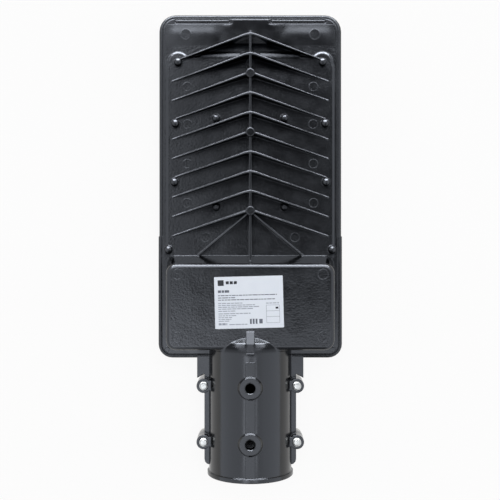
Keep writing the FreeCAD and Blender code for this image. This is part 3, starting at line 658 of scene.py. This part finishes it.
class Paintshop:
    """Makes each finish once and hands it out."""

    def __init__(self) -> None:
        """Start with nothing mixed."""
        self.made: dict[str, bpy.types.Material] = {}

    def material(self, finish: Finish) -> bpy.types.Material:
        """Return the material of a finish, made on its first use.

        Args:
            finish: the finish.

        Returns:
            Its material.
        """
        if finish.name not in self.made:
            self.made[finish.name] = finish.build()
        return self.made[finish.name]

    def dress_nodes(self) -> None:
        """Give every construction node the finish of its own slot."""
        for part in frame["record"]["subparts"]:
            node = frame["nodes"][part["node"]]
            finish = FINISHES[Slot(part["material_slot"])]
            for slot in node.material_slots:
                slot.material = self.material(finish)
            log.info("dressed %s in %s", node.name, finish.name)

    def finish_piece(self, piece: bpy.types.Object, name: str, slot: Slot, replaces: Sequence[str] = (),
                     finish: Finish | None = None) -> bpy.types.Object:
        """Name a new piece, dress it and fix it to the body.

        Args:
            piece: the object, with its place in its mesh.
            name: its name.
            slot: the record's slot that its finish belongs to.
            replaces: the construction nodes that it stands for.
            finish: another finish than the slot's own.

        Returns:
            The same object.
        """
        piece.name = piece.data.name = name
        piece.data.materials.clear()
        piece.data.materials.append(self.material(finish or FINISHES[slot]))
        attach(piece, BODY)
        if replaces:
            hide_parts(*replaces)
        log.info("built %s: %d faces", name, len(piece.data.polygons))
        return piece


# Sub-assemblies


@dataclass
class RatingLabel:
    """The sticker on the driver box, with plain bars in the place of its print."""

    width: float = 48.4 * MM
    height: float = 36.6 * MM
    turn: float = 1.5
    corner: float = 0.6 * MM
    print_depth: float = 0.02 * MM
    margin: float = 2.5 * MM
    word_gap: float = 0.45 * MM
    seed: int = 7

    def build(self, shop: Paintshop) -> None:
        """Build the film and its print.

        Args:
            shop: where the finishes come from.
        """
        low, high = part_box("rating_label")
        centre = (low + high) / 2
        place = Matrix.Translation((centre.x, centre.y, 0)) @ Matrix.Rotation(math.radians(self.turn), 4, "Z")
        top = high.z - self.print_depth
        film = slab((-self.width / 2, -self.height / 2, low.z), (self.width / 2, self.height / 2, top))
        edit(film)
        select_edges(film, lambda middle, way: abs(way.z) > 0.9)
        bpy.ops.mesh.bevel(offset=self.corner, segments=4)
        leave_edit()
        smooth(film)
        film.data.transform(place)
        shop.finish_piece(film, "label_film_sheet", Slot.LABEL_FILM, ["rating_label"])
        for tone, bars in self.bars().items():
            self.lay(shop, tone, bars, place, top)

    def words(self, x: float, y: float, length: float, height: float, random: Random) -> list[tuple]:
        """Break one line of print into plain bars of uneven length.

        Args:
            x: where the line starts, from the film's left edge.
            y: how far its middle is below the film's top edge.
            length: the length of the line.
            height: the height of its bars.
            random: the source of the uneven lengths.

        Returns:
            Bars as (x, y, length, height).
        """
        bars = []
        end = x + length
        while x < end - self.word_gap:
            run = min(random.uniform(1.2, 4.2) * MM, end - x)
            bars.append((x, y, run, height))
            x += run + self.word_gap
        return bars

    def bars(self) -> dict[str, list[tuple]]:
        """Set out the print: a heading, a title, lines of small print, a table and a frame.

        Returns:
            Bars of each tone as (x, y, length, height), from the film's upper left corner.
        """
        random = Random(self.seed)
        left = self.margin
        dark = [(left, 4.3 * MM, 4.2 * MM, 4.0 * MM)]
        dark += [(left + (5.7 + 2.8 * i) * MM, 4.2 * MM, 2.2 * MM, 2.1 * MM) for i in range(3)]
        grey = self.words(left, 10.3 * MM, 8.4 * MM, 1.7 * MM, random)
        light = []
        wide = ((13.2, 41.5), (14.8, 12.0), (16.3, 40.0))
        narrow = ((18.7, 17.0), (20.1, 26.5), (21.4, 29.5), (22.7, 25.0), (24.2, 12.5), (26.0, 23.0))
        short = ((27.4, 12.5), (28.7, 9.5), (30.0, 9.0), (31.2, 7.5))
        for row, length in wide:
            grey += self.words(left, row * MM, length * MM, 0.6 * MM, random)
        for row, length in narrow:
            light += self.words(left, row * MM, length * MM, 0.6 * MM, random)
        for row, length in short:
            light += self.words(left, row * MM, length * MM, 0.55 * MM, random)
        light += self.words(left, 33.3 * MM, 6.0 * MM, 1.5 * MM, random)
        light += self.words(left + 7.5 * MM, 33.7 * MM, 13.0 * MM, 0.6 * MM, random)
        grey += [(left + (22.0 + 2.0 * i) * MM, 31.8 * MM, 1.3 * MM, 3.6 * MM) for i in range(3)]
        grey += [(left + 28.6 * MM, 31.8 * MM, 2.4 * MM, 3.2 * MM)]
        table_left, table_top, table_wide, table_high = 36.2 * MM, 20.6 * MM, 9.2 * MM, 12.4 * MM
        light += self.words(table_left, table_top - 1.4 * MM, table_wide, 0.6 * MM, random)
        rule = 0.25 * MM
        for side in (0, table_wide):
            light.append((table_left + side, table_top + table_high / 2, rule, table_high))
        for row in (0, 0.33, 0.66, 1):
            light.append((table_left, table_top + table_high * row, table_wide, rule))
        dark.append((table_left + table_wide - 2.6 * MM, table_top + 2 * MM, 2.0 * MM, 1.3 * MM))
        return {"dark": dark, "grey": grey, "light": light}

    def lay(self, shop: Paintshop, tone: str, bars: list[tuple], place: Matrix, level: float) -> None:
        """Lay the bars of one tone on the film as thin closed pieces.

        Args:
            shop: where the finishes come from.
            tone: the print tone.
            bars: (x, y, length, height) from the film's upper left corner.
            place: where the film lies.
            level: the film's upper face.
        """
        deselect_all()
        bpy.ops.mesh.primitive_plane_add(size=1, location=(0, 0, 0))
        sheet = bpy.context.object
        meshes = []
        for x, y, length, height in bars:
            mesh = sheet.data.copy()
            mesh.transform(Matrix.Translation((x + length / 2 - self.width / 2, self.height / 2 - y, level))
                           @ Matrix.Diagonal((length, height, 1, 1)))
            bar = bpy.data.objects.new("bar", mesh)
            bpy.context.scene.collection.objects.link(bar)
            meshes.append(bar)
        bpy.data.objects.remove(sheet)
        block = join(meshes)
        edit(block)
        bpy.ops.mesh.select_all(action="SELECT")
        bpy.ops.mesh.extrude_region_move(TRANSFORM_OT_translate={"value": (0, 0, self.print_depth)})
        leave_edit()
        recalculate(block)
        block.data.transform(place)
        shop.finish_piece(block, f"label_print_{tone}", Slot.LABEL_FILM, finish=PRINT_TONES[tone])


@dataclass
class LensArray:
    """The clear plate under the light points, with one smooth lens for each of them."""

    plate_thickness: float = 2.5 * MM
    corner_radius: float = 8.6 * MM
    foot_radius: float = 8.2 * MM
    hole_radius: float = 2.3 * MM
    rib_height: float = 0.6 * MM

    def build(self, shop: Paintshop) -> None:
        """Build the plate, its lenses and its screw holes as one moulding.

        Args:
            shop: where the finishes come from.
        """
        low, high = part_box("lens_plate")
        bottom = high.z - self.plate_thickness
        plate = slab((low.x, low.y, bottom), high)
        edit(plate)
        select_edges(plate, lambda middle, way: abs(way.z) > 0.9)
        bpy.ops.mesh.bevel(offset=self.corner_radius, segments=10)
        leave_edit()
        rise = bottom - low.z
        foot = self.foot_radius
        model = turned([(0.3 * MM, foot), (-self.rib_height, foot), (-self.rib_height, foot * 0.93),
                        (-rise * 0.36, foot * 0.88), (-rise * 0.6, foot * 0.75), (-rise * 0.8, foot * 0.56),
                        (-rise * 0.93, foot * 0.34), (-rise, foot * 0.08)], 40)
        places = [(p.x, p.y, bottom) for p in shell_centres("led_chips")]
        carve(plate, copies(model, places), "UNION")
        drill = turned([(-20 * MM, self.hole_radius), (0, self.hole_radius)], 24)
        carve(plate, copies(drill, [(p.x, p.y, high.z + 5 * MM) for p in shell_centres("lens_screws")]))
        recalculate(plate)
        smooth(plate, 30)
        shop.finish_piece(plate, "lens_plate_moulding", Slot.LENS_PLASTIC, ["lens_plate"])


@dataclass
class LightPoints:
    """The packages on the light board: a white ceramic frame round a yellow phosphor square."""

    frame_share: float = 0.16
    lip: float = 0.12 * MM

    def build(self, shop: Paintshop) -> None:
        """Build the ceramic frames and the phosphor in them.

        Args:
            shop: where the finishes come from.
        """
        low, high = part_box("led_chips")
        places = shell_centres("led_chips")
        side = self.side_of_one()
        bodies = slab((-side / 2, -side / 2, low.z), (side / 2, side / 2, high.z))
        edit(bodies)
        select_faces(bodies, lambda middle, normal: normal.z < -0.9)
        bpy.ops.mesh.inset(thickness=side * self.frame_share)
        bpy.ops.mesh.extrude_region_move(TRANSFORM_OT_translate={"value": (0, 0, self.lip * 2)})
        leave_edit()
        soften(bodies, 0.08 * MM)
        frames = copies(bodies, [(p.x, p.y, 0) for p in places])
        shop.finish_piece(frames, "light_point_frames", Slot.PHOSPHOR, ["led_chips"],
                          FINISHES[Slot.TERMINAL_PLASTIC])
        half = side * (0.5 - self.frame_share) - 0.02 * MM
        fill = slab((-half, -half, low.z + self.lip), (half, half, low.z + self.lip * 3))
        soften(fill, 0.1 * MM)
        fills = copies(fill, [(p.x, p.y, 0) for p in places])
        shop.finish_piece(fills, "light_point_phosphor", Slot.PHOSPHOR)

    @staticmethod
    def side_of_one() -> float:
        """Return the side of one light point, from the group's box and its outer places."""
        low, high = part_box("led_chips")
        places = shell_centres("led_chips")
        return (high.x - low.x) - (max(p.x for p in places) - min(p.x for p in places))


@dataclass
class SocketScrews:
    """A set of cap screws with hexagon sockets, their heads down, as one group."""

    node: str
    name: str
    thread_radius: float
    head_radius: float
    head_height: float
    key_flats: float
    pitch: float
    finish_slot: Slot = Slot.ZINC_STEEL

    def build(self, shop: Paintshop) -> None:
        """Build one screw and set it in every place of its node.

        Args:
            shop: where the finishes come from.
        """
        low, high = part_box(self.node)
        seat = low.z + self.head_height
        screw = join([self.head(low.z, seat), self.shank(seat - 0.2 * MM, high.z), self.thread(seat, high.z)])
        places = [(p.x, p.y, 0) for p in shell_centres(self.node)]
        group = copies(screw, places)
        shop.finish_piece(group, self.name, self.finish_slot, [self.node])

    def head(self, bottom: float, seat: float) -> bpy.types.Object:
        """Make the head with its socket.

        Args:
            bottom: the level of the head's face.
            seat: the level that it clamps on.

        Returns:
            The head.
        """
        edge = self.head_height * 0.12
        head = turned([(bottom, self.head_radius - edge), (bottom + edge, self.head_radius),
                       (seat, self.head_radius)])
        corner = self.key_flats / math.sqrt(3)
        key = turned([(bottom - 1 * MM, corner), (bottom + self.head_height * 0.55, corner)], 6)
        carve(head, key)
        soften(head, 0.12 * MM)
        return head

    def shank(self, bottom: float, tip: float) -> bpy.types.Object:
        """Make the thread's core with its chamfered tip.

        Args:
            bottom: where the core starts inside the head.
            tip: where it ends.

        Returns:
            The core.
        """
        core = self.thread_radius - self.pitch * 0.5
        shank = turned([(bottom, core), (tip - self.pitch * 0.6, core), (tip, core - self.pitch * 0.45)], 32)
        soften(shank, 0.06 * MM)
        return shank

    def thread(self, seat: float, tip: float) -> bpy.types.Object:
        """Sweep a three-sided ridge round the core, from near the head to the tip.

        Args:
            seat: the level that the head clamps on.
            tip: the screw's end.

        Returns:
            The ridge, closed at both ends.
        """
        core = self.thread_radius - self.pitch * 0.5
        size = self.pitch * 0.48
        turns = max(1, int((tip - seat) / self.pitch) - 1)
        start = tip - self.pitch * (turns + 0.55)
        deselect_all()
        bpy.ops.mesh.primitive_circle_add(vertices=3, radius=size, fill_type="NOTHING",
                                          location=(core + size * 0.3, 0, start),
                                          rotation=(math.radians(90), math.radians(90), 0))
        ridge = bpy.context.object
        bpy.ops.object.transform_apply(location=True, rotation=True, scale=True)
        reach = max(v.co.x for v in ridge.data.vertices)
        ridge.data.transform(Matrix.Translation((self.thread_radius - reach, 0, 0)))
        apply_modifier(ridge, "SCREW", axis="Z", angle=math.radians(360), screw_offset=self.pitch,
                       iterations=turns, steps=20, render_steps=20, use_merge_vertices=False)
        edit(ridge)
        bpy.context.tool_settings.mesh_select_mode = (False, True, False)
        bpy.ops.mesh.select_non_manifold()
        bpy.ops.mesh.fill()
        leave_edit()
        recalculate(ridge)
        smooth(ridge, 50)
        return ridge


@dataclass
class Washers:
    """Round washers under the clamp lugs, plain or split."""

    node: str
    name: str
    outer_radius: float
    inner_radius: float
    split: float = 0.0

    def build(self, shop: Paintshop) -> None:
        """Build one washer and set it in every place of its node.

        Args:
            shop: where the finishes come from.
        """
        low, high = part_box(self.node)
        ring = turned([(low.z, self.outer_radius), (high.z, self.outer_radius)])
        carve(ring, turned([(low.z - 1 * MM, self.inner_radius), (high.z + 1 * MM, self.inner_radius)]))
        if self.split:
            half = self.split / 2
            carve(ring, slab((0, -half, low.z - 1 * MM), (self.outer_radius * 2, half, high.z + 1 * MM)))
        soften(ring, 0.15 * MM)
        places = sorted({(round(p.x, 5), round(p.y, 5), 0.0) for p in shell_centres("socket_screws")})
        shop.finish_piece(copies(ring, places), self.name, Slot.ZINC_STEEL, [self.node])


@dataclass
class CableGland:
    """The cable gland behind the socket: its cap nut with grip ribs and its bush, with rounded edges."""

    ribs: int = 12
    edge: float = 0.35 * MM

    def build(self, shop: Paintshop) -> None:
        """Build the pieces of the gland that show from the socket's mouth.

        Args:
            shop: where the finishes come from.
        """
        lay = Matrix.Rotation(math.radians(-90), 4, "X")
        low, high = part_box("gland_cap_nut")
        axis = (low + high) / 2
        radius = (high.x - low.x) / 2
        length = high.y - low.y
        nut = turned([(0, radius * 0.66), (length * 0.12, radius * 0.8), (length * 0.32, radius * 0.88),
                      (length, radius * 0.88)], 64)
        rib = turned([(length * 0.3, radius * 0.1), (length, radius * 0.1)], 12)
        turn = 2 * math.pi / self.ribs
        places = [(radius * 0.84 * math.cos(turn * i), radius * 0.84 * math.sin(turn * i), 0)
                  for i in range(self.ribs)]
        carve(nut, copies(rib, places), "UNION")
        hole = turned([(-1 * MM, radius * 0.53), (length * 0.24, radius * 0.53), (length * 0.24, radius * 0.71),
                       (length + 1 * MM, radius * 0.71)], 48)
        carve(nut, hole)
        recalculate(nut)
        soften(nut, self.edge * 0.5)
        nut.data.transform(Matrix.Translation((axis.x, low.y, axis.z)) @ lay)
        shop.finish_piece(nut, "gland_cap_nut_ribbed", Slot.NYLON, ["gland_cap_nut"])

        low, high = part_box("gland_seal")
        radius = (high.x - low.x) / 2
        length = high.y - low.y
        bush = turned([(0, radius - 0.4 * MM), (0.4 * MM, radius), (length, radius)])
        carve(bush, turned([(-1 * MM, radius * 0.6), (length + 1 * MM, radius * 0.6)], 40))
        soften(bush, self.edge)
        bush.data.transform(Matrix.Translation((axis.x, low.y, axis.z)) @ lay)
        shop.finish_piece(bush, "gland_bush", Slot.SILICONE, ["gland_seal"])


@dataclass
class NoseField:
    """The smooth field in front of the first fin, a gentle swell that sinks to the plate at its edges."""

    half_width: float = 61.6 * MM
    rear: float = 311.0 * MM
    front: float = 327.2 * MM
    tongue_half_width: float = 14.4 * MM
    tongue_front: float = 330.3 * MM
    level: float = 3.22 * MM
    edge_level: float = 3.19 * MM
    thickness: float = 0.7 * MM
    crest_rise: float = 0.3 * MM
    crest_reach: float = 8.0 * MM
    tongue_rise: float = 0.5 * MM
    lip_inner: float = 7.0 * MM
    lip_outer: float = 36.0 * MM
    lip_line: float = 302.7 * MM
    lip_top: float = 4.06 * MM
    lip_foot: float = 2.6 * MM
    lip_radius: float = 12.0 * MM

    def build(self, shop: Paintshop) -> None:
        """Build the swell as a fine sheet and give it its thickness.

        Args:
            shop: where the finishes come from.
        """
        deselect_all()
        middle = (self.rear + self.front) / 2
        bpy.ops.mesh.primitive_grid_add(x_subdivisions=64, y_subdivisions=14, size=1,
                                        location=(0, middle, self.level))
        sheet = bpy.context.object
        sheet.scale = (2 * self.half_width, self.front - self.rear, 1)
        bpy.ops.object.transform_apply(location=True, rotation=True, scale=True)
        edit(sheet)
        select_edges(sheet, lambda point, way: point.y > self.front - 0.1 * MM and abs(way.x) > 0.9
                     and abs(point.x) < self.tongue_half_width)
        bpy.ops.mesh.extrude_region_move(TRANSFORM_OT_translate={"value": (0, self.tongue_front - self.front, 0)})
        self.pick(sheet, lambda point: 27 * MM < abs(point.x) < 55 * MM and 318 * MM < point.y < 320 * MM)
        self.lift(self.crest_rise)
        self.pick(sheet, lambda point: abs(point.x) < self.tongue_half_width and point.y > self.front)
        self.lift(self.tongue_rise)
        self.pick(sheet, self.on_edge)
        bpy.ops.transform.resize(value=(1, 1, 0), center_override=(0, 0, self.edge_level))
        leave_edit()
        apply_modifier(sheet, "SOLIDIFY", thickness=self.thickness, offset=-1)
        smooth(sheet, 60)
        shop.finish_piece(sheet, "nose_field", Slot.POWDER_COAT)
        for side in (-1, 1):
            self.lip(shop, side)

    def lip(self, shop: Paintshop, side: int) -> None:
        """Round the front edge of the grained panel where it shows between the first two fins.

        Args:
            shop: where the finishes come from.
            side: 1 on the right, -1 on the left.
        """
        deselect_all()
        middle = (side * (self.lip_inner + self.lip_outer) / 2, self.lip_line, self.lip_top - self.lip_radius)
        bpy.ops.mesh.primitive_cylinder_add(vertices=192, radius=self.lip_radius,
                                            depth=self.lip_outer - self.lip_inner, location=middle,
                                            rotation=(0, math.pi / 2, 0))
        roll = bpy.context.object
        bpy.ops.object.transform_apply(location=True, rotation=True, scale=True)
        edit(roll)
        bpy.ops.mesh.select_all(action="SELECT")
        bpy.ops.mesh.bisect(plane_co=(0, 0, self.lip_foot), plane_no=(0, 0, 1), clear_inner=True, use_fill=True)
        leave_edit()
        recalculate(roll)
        smooth(roll)
        shop.finish_piece(roll, f"panel_lip_{'right' if side > 0 else 'left'}", Slot.POWDER_COAT)

    def on_edge(self, point: Vector) -> bool:
        """Tell whether a point lies on the sheet's border, the front of its tongue apart."""
        inset = 0.1 * MM
        return (point.y < self.rear + inset or abs(point.x) > self.half_width - inset
                or self.front - inset < point.y < self.front + inset and abs(point.x) > self.tongue_half_width)

    @staticmethod
    def pick(sheet: bpy.types.Object, test: Callable[[Vector], bool]) -> None:
        """Select the sheet's points that pass a test.

        Args:
            sheet: the sheet in edit mode.
            test: takes a point's place.
        """
        bpy.context.tool_settings.mesh_select_mode = (True, False, False)
        mesh = bmesh.from_edit_mesh(sheet.data)
        for vertex in mesh.verts:
            vertex.select_set(test(vertex.co))
        bmesh.update_edit_mesh(sheet.data)

    def lift(self, rise: float) -> None:
        """Lift what is selected, and what is near it by less and less."""
        bpy.ops.transform.translate(value=(0, 0, rise), use_proportional_edit=True,
                                    proportional_edit_falloff="SMOOTH", proportional_size=self.crest_reach)


@dataclass
class EjectorMarks:
    """The faint round marks that the mould's ejector pins leave on the casting."""

    rise: float = 0.14 * MM
    small_radius: float = 3.5 * MM
    nose_radius: float = 4.1 * MM
    box_radius: float = 3.9 * MM
    corner_radius: float = 1.9 * MM
    panel_level: float = 4.0 * MM
    nose_level: float = 3.52 * MM
    box_level: float = 23.0 * MM
    plate_level: float = 3.2 * MM

    def build(self, shop: Paintshop) -> None:
        """Build the marks on the panel, on the nose and on the driver box.

        Args:
            shop: where the finishes come from.
        """
        sets = (
            (self.small_radius, self.panel_level,
             ((45.8, 281.5), (45.6, 254.2), (45.8, 225.5), (45.9, 197.0), (32.4, 172.0))),
            (self.nose_radius, self.nose_level, ((46.9, 319.6),)),
            (self.box_radius, self.box_level, ((51.3, 145.7), (51.3, 101.2))),
            (self.corner_radius, self.plate_level, ((60.4, 90.8),)),
        )
        marks = []
        for radius, level, places in sets:
            model = self.mark(radius)
            spots = [(side * x * MM, y * MM, level) for x, y in places for side in (-1, 1)]
            marks.append(copies(model, spots))
        shop.finish_piece(join(marks), "ejector_marks", Slot.POWDER_COAT, finish=MARK_FINISH)

    def mark(self, radius: float) -> bpy.types.Object:
        """Make one mark: a low disc with a sunk middle.

        Args:
            radius: its outer radius.

        Returns:
            The mark, standing on the level of zero.
        """
        disc = turned([(-0.1 * MM, radius), (self.rise * 0.5, radius), (self.rise, radius - 0.15 * MM)], 40)
        edit(disc)
        select_faces(disc, lambda middle, normal: normal.z > 0.9 and middle.z > self.rise * 0.9)
        bpy.ops.mesh.inset(thickness=0.45 * MM)
        bpy.ops.mesh.extrude_region_move(TRANSFORM_OT_translate={"value": (0, 0, -self.rise * 0.7)})
        leave_edit()
        smooth(disc, 30)
        return disc


# Studio and camera


@dataclass
class Studio:
    """A white table under one large soft lamp, with a strip at the nose side and one at each flank."""

    table_half: float = 9.0
    white: str = "#ffffff"
    world_level: float = 0.3
    table_glow: float = 0.9
    table_gloss: float = 0.9
    sky: str = "#e8effc"
    room: Sequence[tuple[float, float]] = (
        (-1.0, 1.9), (-0.4, 1.7), (-0.1, 1.9), (-0.05, 0.3), (0.0, 0.1), (0.1, 0.35), (0.4, 1.5), (1.0, 1.9))

    def build(self) -> None:
        """Set up the table, the lamps, the world and the colour handling."""
        scene = bpy.context.scene
        scene.view_settings.view_transform = "Standard"
        self.table()
        self.world()
        self.lamp("overhead", (0.1, 0.35, 1.6), (0, 0.17, 0), 1.0, 1.0, 12, glossy=False)
        self.lamp("nose_strip", (0.0, 1.56, 0.4), (0, 0.25, 0), 1.8, 0.45, 70, glossy=True, diffuse=False)
        self.lamp("nose_high", (0.0, 1.24, 1.04), (0, 0.25, 0), 1.8, 1.16, 48, glossy=True, diffuse=False)
        self.lamp("rear_high", (0.0, -0.27, 1.5), (0, 0.1, 0), 1.0, 0.5, 3.5, glossy=True, diffuse=False)
        self.lamp("left_strip", (-1.3, 0.1, 0.5), (0, 0.17, 0), 0.5, 1.4, 5, glossy=False)
        self.lamp("right_strip", (1.3, 0.1, 0.5), (0, 0.17, 0), 0.5, 1.4, 5, glossy=False)

    def table(self) -> None:
        """Lay the table's top just under the object."""
        level = CAD_BOX[0].z
        deselect_all()
        bpy.ops.mesh.primitive_plane_add(size=2 * self.table_half, location=(0, 0.17, level - 0.2 * MM))
        top = bpy.context.object
        top.name = "table_top"
        material = bpy.data.materials.new("white_table_card")
        material.use_nodes = True
        tree = material.node_tree
        tree.nodes.clear()
        path = add_node(tree, "ShaderNodeLightPath")
        clear = add_node(tree, "ShaderNodeMath",
                         links={0: (path, "Is Camera Ray"), 1: (path, "Is Transmission Ray")},
                         operation="MAXIMUM")
        seen = add_node(tree, "ShaderNodeMath", {1: self.table_glow}, {0: (clear, 0)}, operation="MULTIPLY")
        gloss = add_node(tree, "ShaderNodeMath", {1: self.table_gloss}, {0: (path, "Is Glossy Ray")},
                         operation="MULTIPLY")
        share = add_node(tree, "ShaderNodeMath", links={0: (seen, 0), 1: (gloss, 0)}, operation="MAXIMUM")
        card = add_node(tree, "ShaderNodeBsdfDiffuse", {"Color": srgb("#f4f4f4")})
        glow = add_node(tree, "ShaderNodeEmission", {"Color": srgb(self.white), "Strength": 1.0})
        mix = add_node(tree, "ShaderNodeMixShader", links={0: (share, 0), 1: (card, 0), 2: (glow, 0)})
        add_node(tree, "ShaderNodeOutputMaterial", links={"Surface": (mix, 0)})
        top.data.materials.append(material)

    def world(self) -> None:
        """Make the surroundings white for what is seen or mirrored, and dimmer as a light."""
        world = bpy.data.worlds.new("white_room")
        bpy.context.scene.world = world
        world.use_nodes = True
        tree = world.node_tree
        tree.nodes.clear()
        path = add_node(tree, "ShaderNodeLightPath")
        clear = add_node(tree, "ShaderNodeMath",
                         links={0: (path, "Is Camera Ray"), 1: (path, "Is Transmission Ray")},
                         operation="MAXIMUM")
        level = add_node(tree, "ShaderNodeMapRange", {"To Min": self.world_level, "To Max": 1.0},
                         {"Value": (clear, 0)})
        room = add_node(tree, "ShaderNodeBackground", {"Color": srgb(self.white)},
                        {"Strength": (level, "Result")})
        place = add_node(tree, "ShaderNodeTexCoord")
        apart = add_node(tree, "ShaderNodeSeparateXYZ", links={"Vector": (place, "Generated")})
        band = add_node(tree, "ShaderNodeFloatCurve", links={"Value": (apart, "X")})
        band.mapping.use_clip = False
        curve = band.mapping.curves[0]
        curve.points[0].location = self.room[0]
        curve.points[1].location = self.room[-1]
        for side, strength in self.room[1:-1]:
            curve.points.new(side, strength)
        band.mapping.update()
        mirrored = add_node(tree, "ShaderNodeBackground", {"Color": srgb(self.sky)},
                            {"Strength": (band, 0)})
        mix = add_node(tree, "ShaderNodeMixShader",
                       links={0: (path, "Is Glossy Ray"), 1: (room, 0), 2: (mirrored, 0)})
        add_node(tree, "ShaderNodeOutputWorld", links={"Surface": (mix, 0)})

    def lamp(self, name: str, place: Point, target: Point, width: float, height: float, watts: float,
             glossy: bool, diffuse: bool = True) -> None:
        """Add one soft lamp.

        Args:
            name: the lamp's name.
            place: where it hangs.
            target: what it points at.
            width: the size of its face across.
            height: the size of its face the other way.
            watts: its power.
            glossy: whether gloss mirrors it.
            diffuse: whether it lights what is matt.
        """
        data = bpy.data.lights.new(name, "AREA")
        data.shape = "RECTANGLE"
        data.size = width
        data.size_y = height
        data.energy = watts
        data.color = (1.0, 1.0, 1.0) if diffuse else srgb(self.sky)[:3]
        lamp = bpy.data.objects.new(name, data)
        bpy.context.scene.collection.objects.link(lamp)
        lamp.location = place
        lamp.rotation_euler = (Vector(target) - Vector(place)).to_track_quat("-Z", "Y").to_euler()
        lamp.visible_camera = False
        lamp.visible_glossy = glossy
        lamp.visible_diffuse = diffuse


@dataclass
class PhotoCamera:
    """The camera of the photograph: straight above the head, with the nose at the top."""

    place: Point = (-0.2 * MM, 162.9 * MM, 649 * MM)
    lens: float = 64.0
    sensor: float = 36.0

    def build(self) -> None:
        """Set up the camera."""
        data = bpy.data.cameras.new("photo_camera")
        data.sensor_width = self.sensor
        data.lens = self.lens
        data.clip_start = 0.01
        data.clip_end = 50
        camera = bpy.data.objects.new("photo_camera", data)
        bpy.context.scene.collection.objects.link(camera)
        camera.location = self.place
        bpy.context.scene.camera = camera


def main() -> None:
    """Dress the head, build its fine pieces and set it in the studio."""
    logging.basicConfig(level=logging.INFO, format="%(message)s")
    Studio().build()
    PhotoCamera().build()
    shop = Paintshop()
    shop.dress_nodes()
    assemblies = (
        RatingLabel(),
        LensArray(),
        LightPoints(),
        SocketScrews("socket_screws", "clamp_screws", 3.0 * MM, 4.7 * MM, 5.0 * MM, 5.0 * MM, 1.0 * MM),
        SocketScrews("lens_screws", "lens_plate_screws", 2.0 * MM, 3.6 * MM, 2.6 * MM, 2.5 * MM, 0.7 * MM),
        SocketScrews("cover_screws", "cover_front_screws", 2.0 * MM, 3.6 * MM, 2.6 * MM, 2.5 * MM, 0.7 * MM),
        Washers("socket_flat_washers", "clamp_flat_washers", 4.7 * MM, 3.2 * MM),
        Washers("socket_spring_washers", "clamp_spring_washers", 4.4 * MM, 3.2 * MM, 1.0 * MM),
        CableGland(),
        NoseField(),
        EjectorMarks(),
    )
    for assembly in assemblies:
        assembly.build(shop)
    deselect_all()


if __name__ == "__main__":
    main()
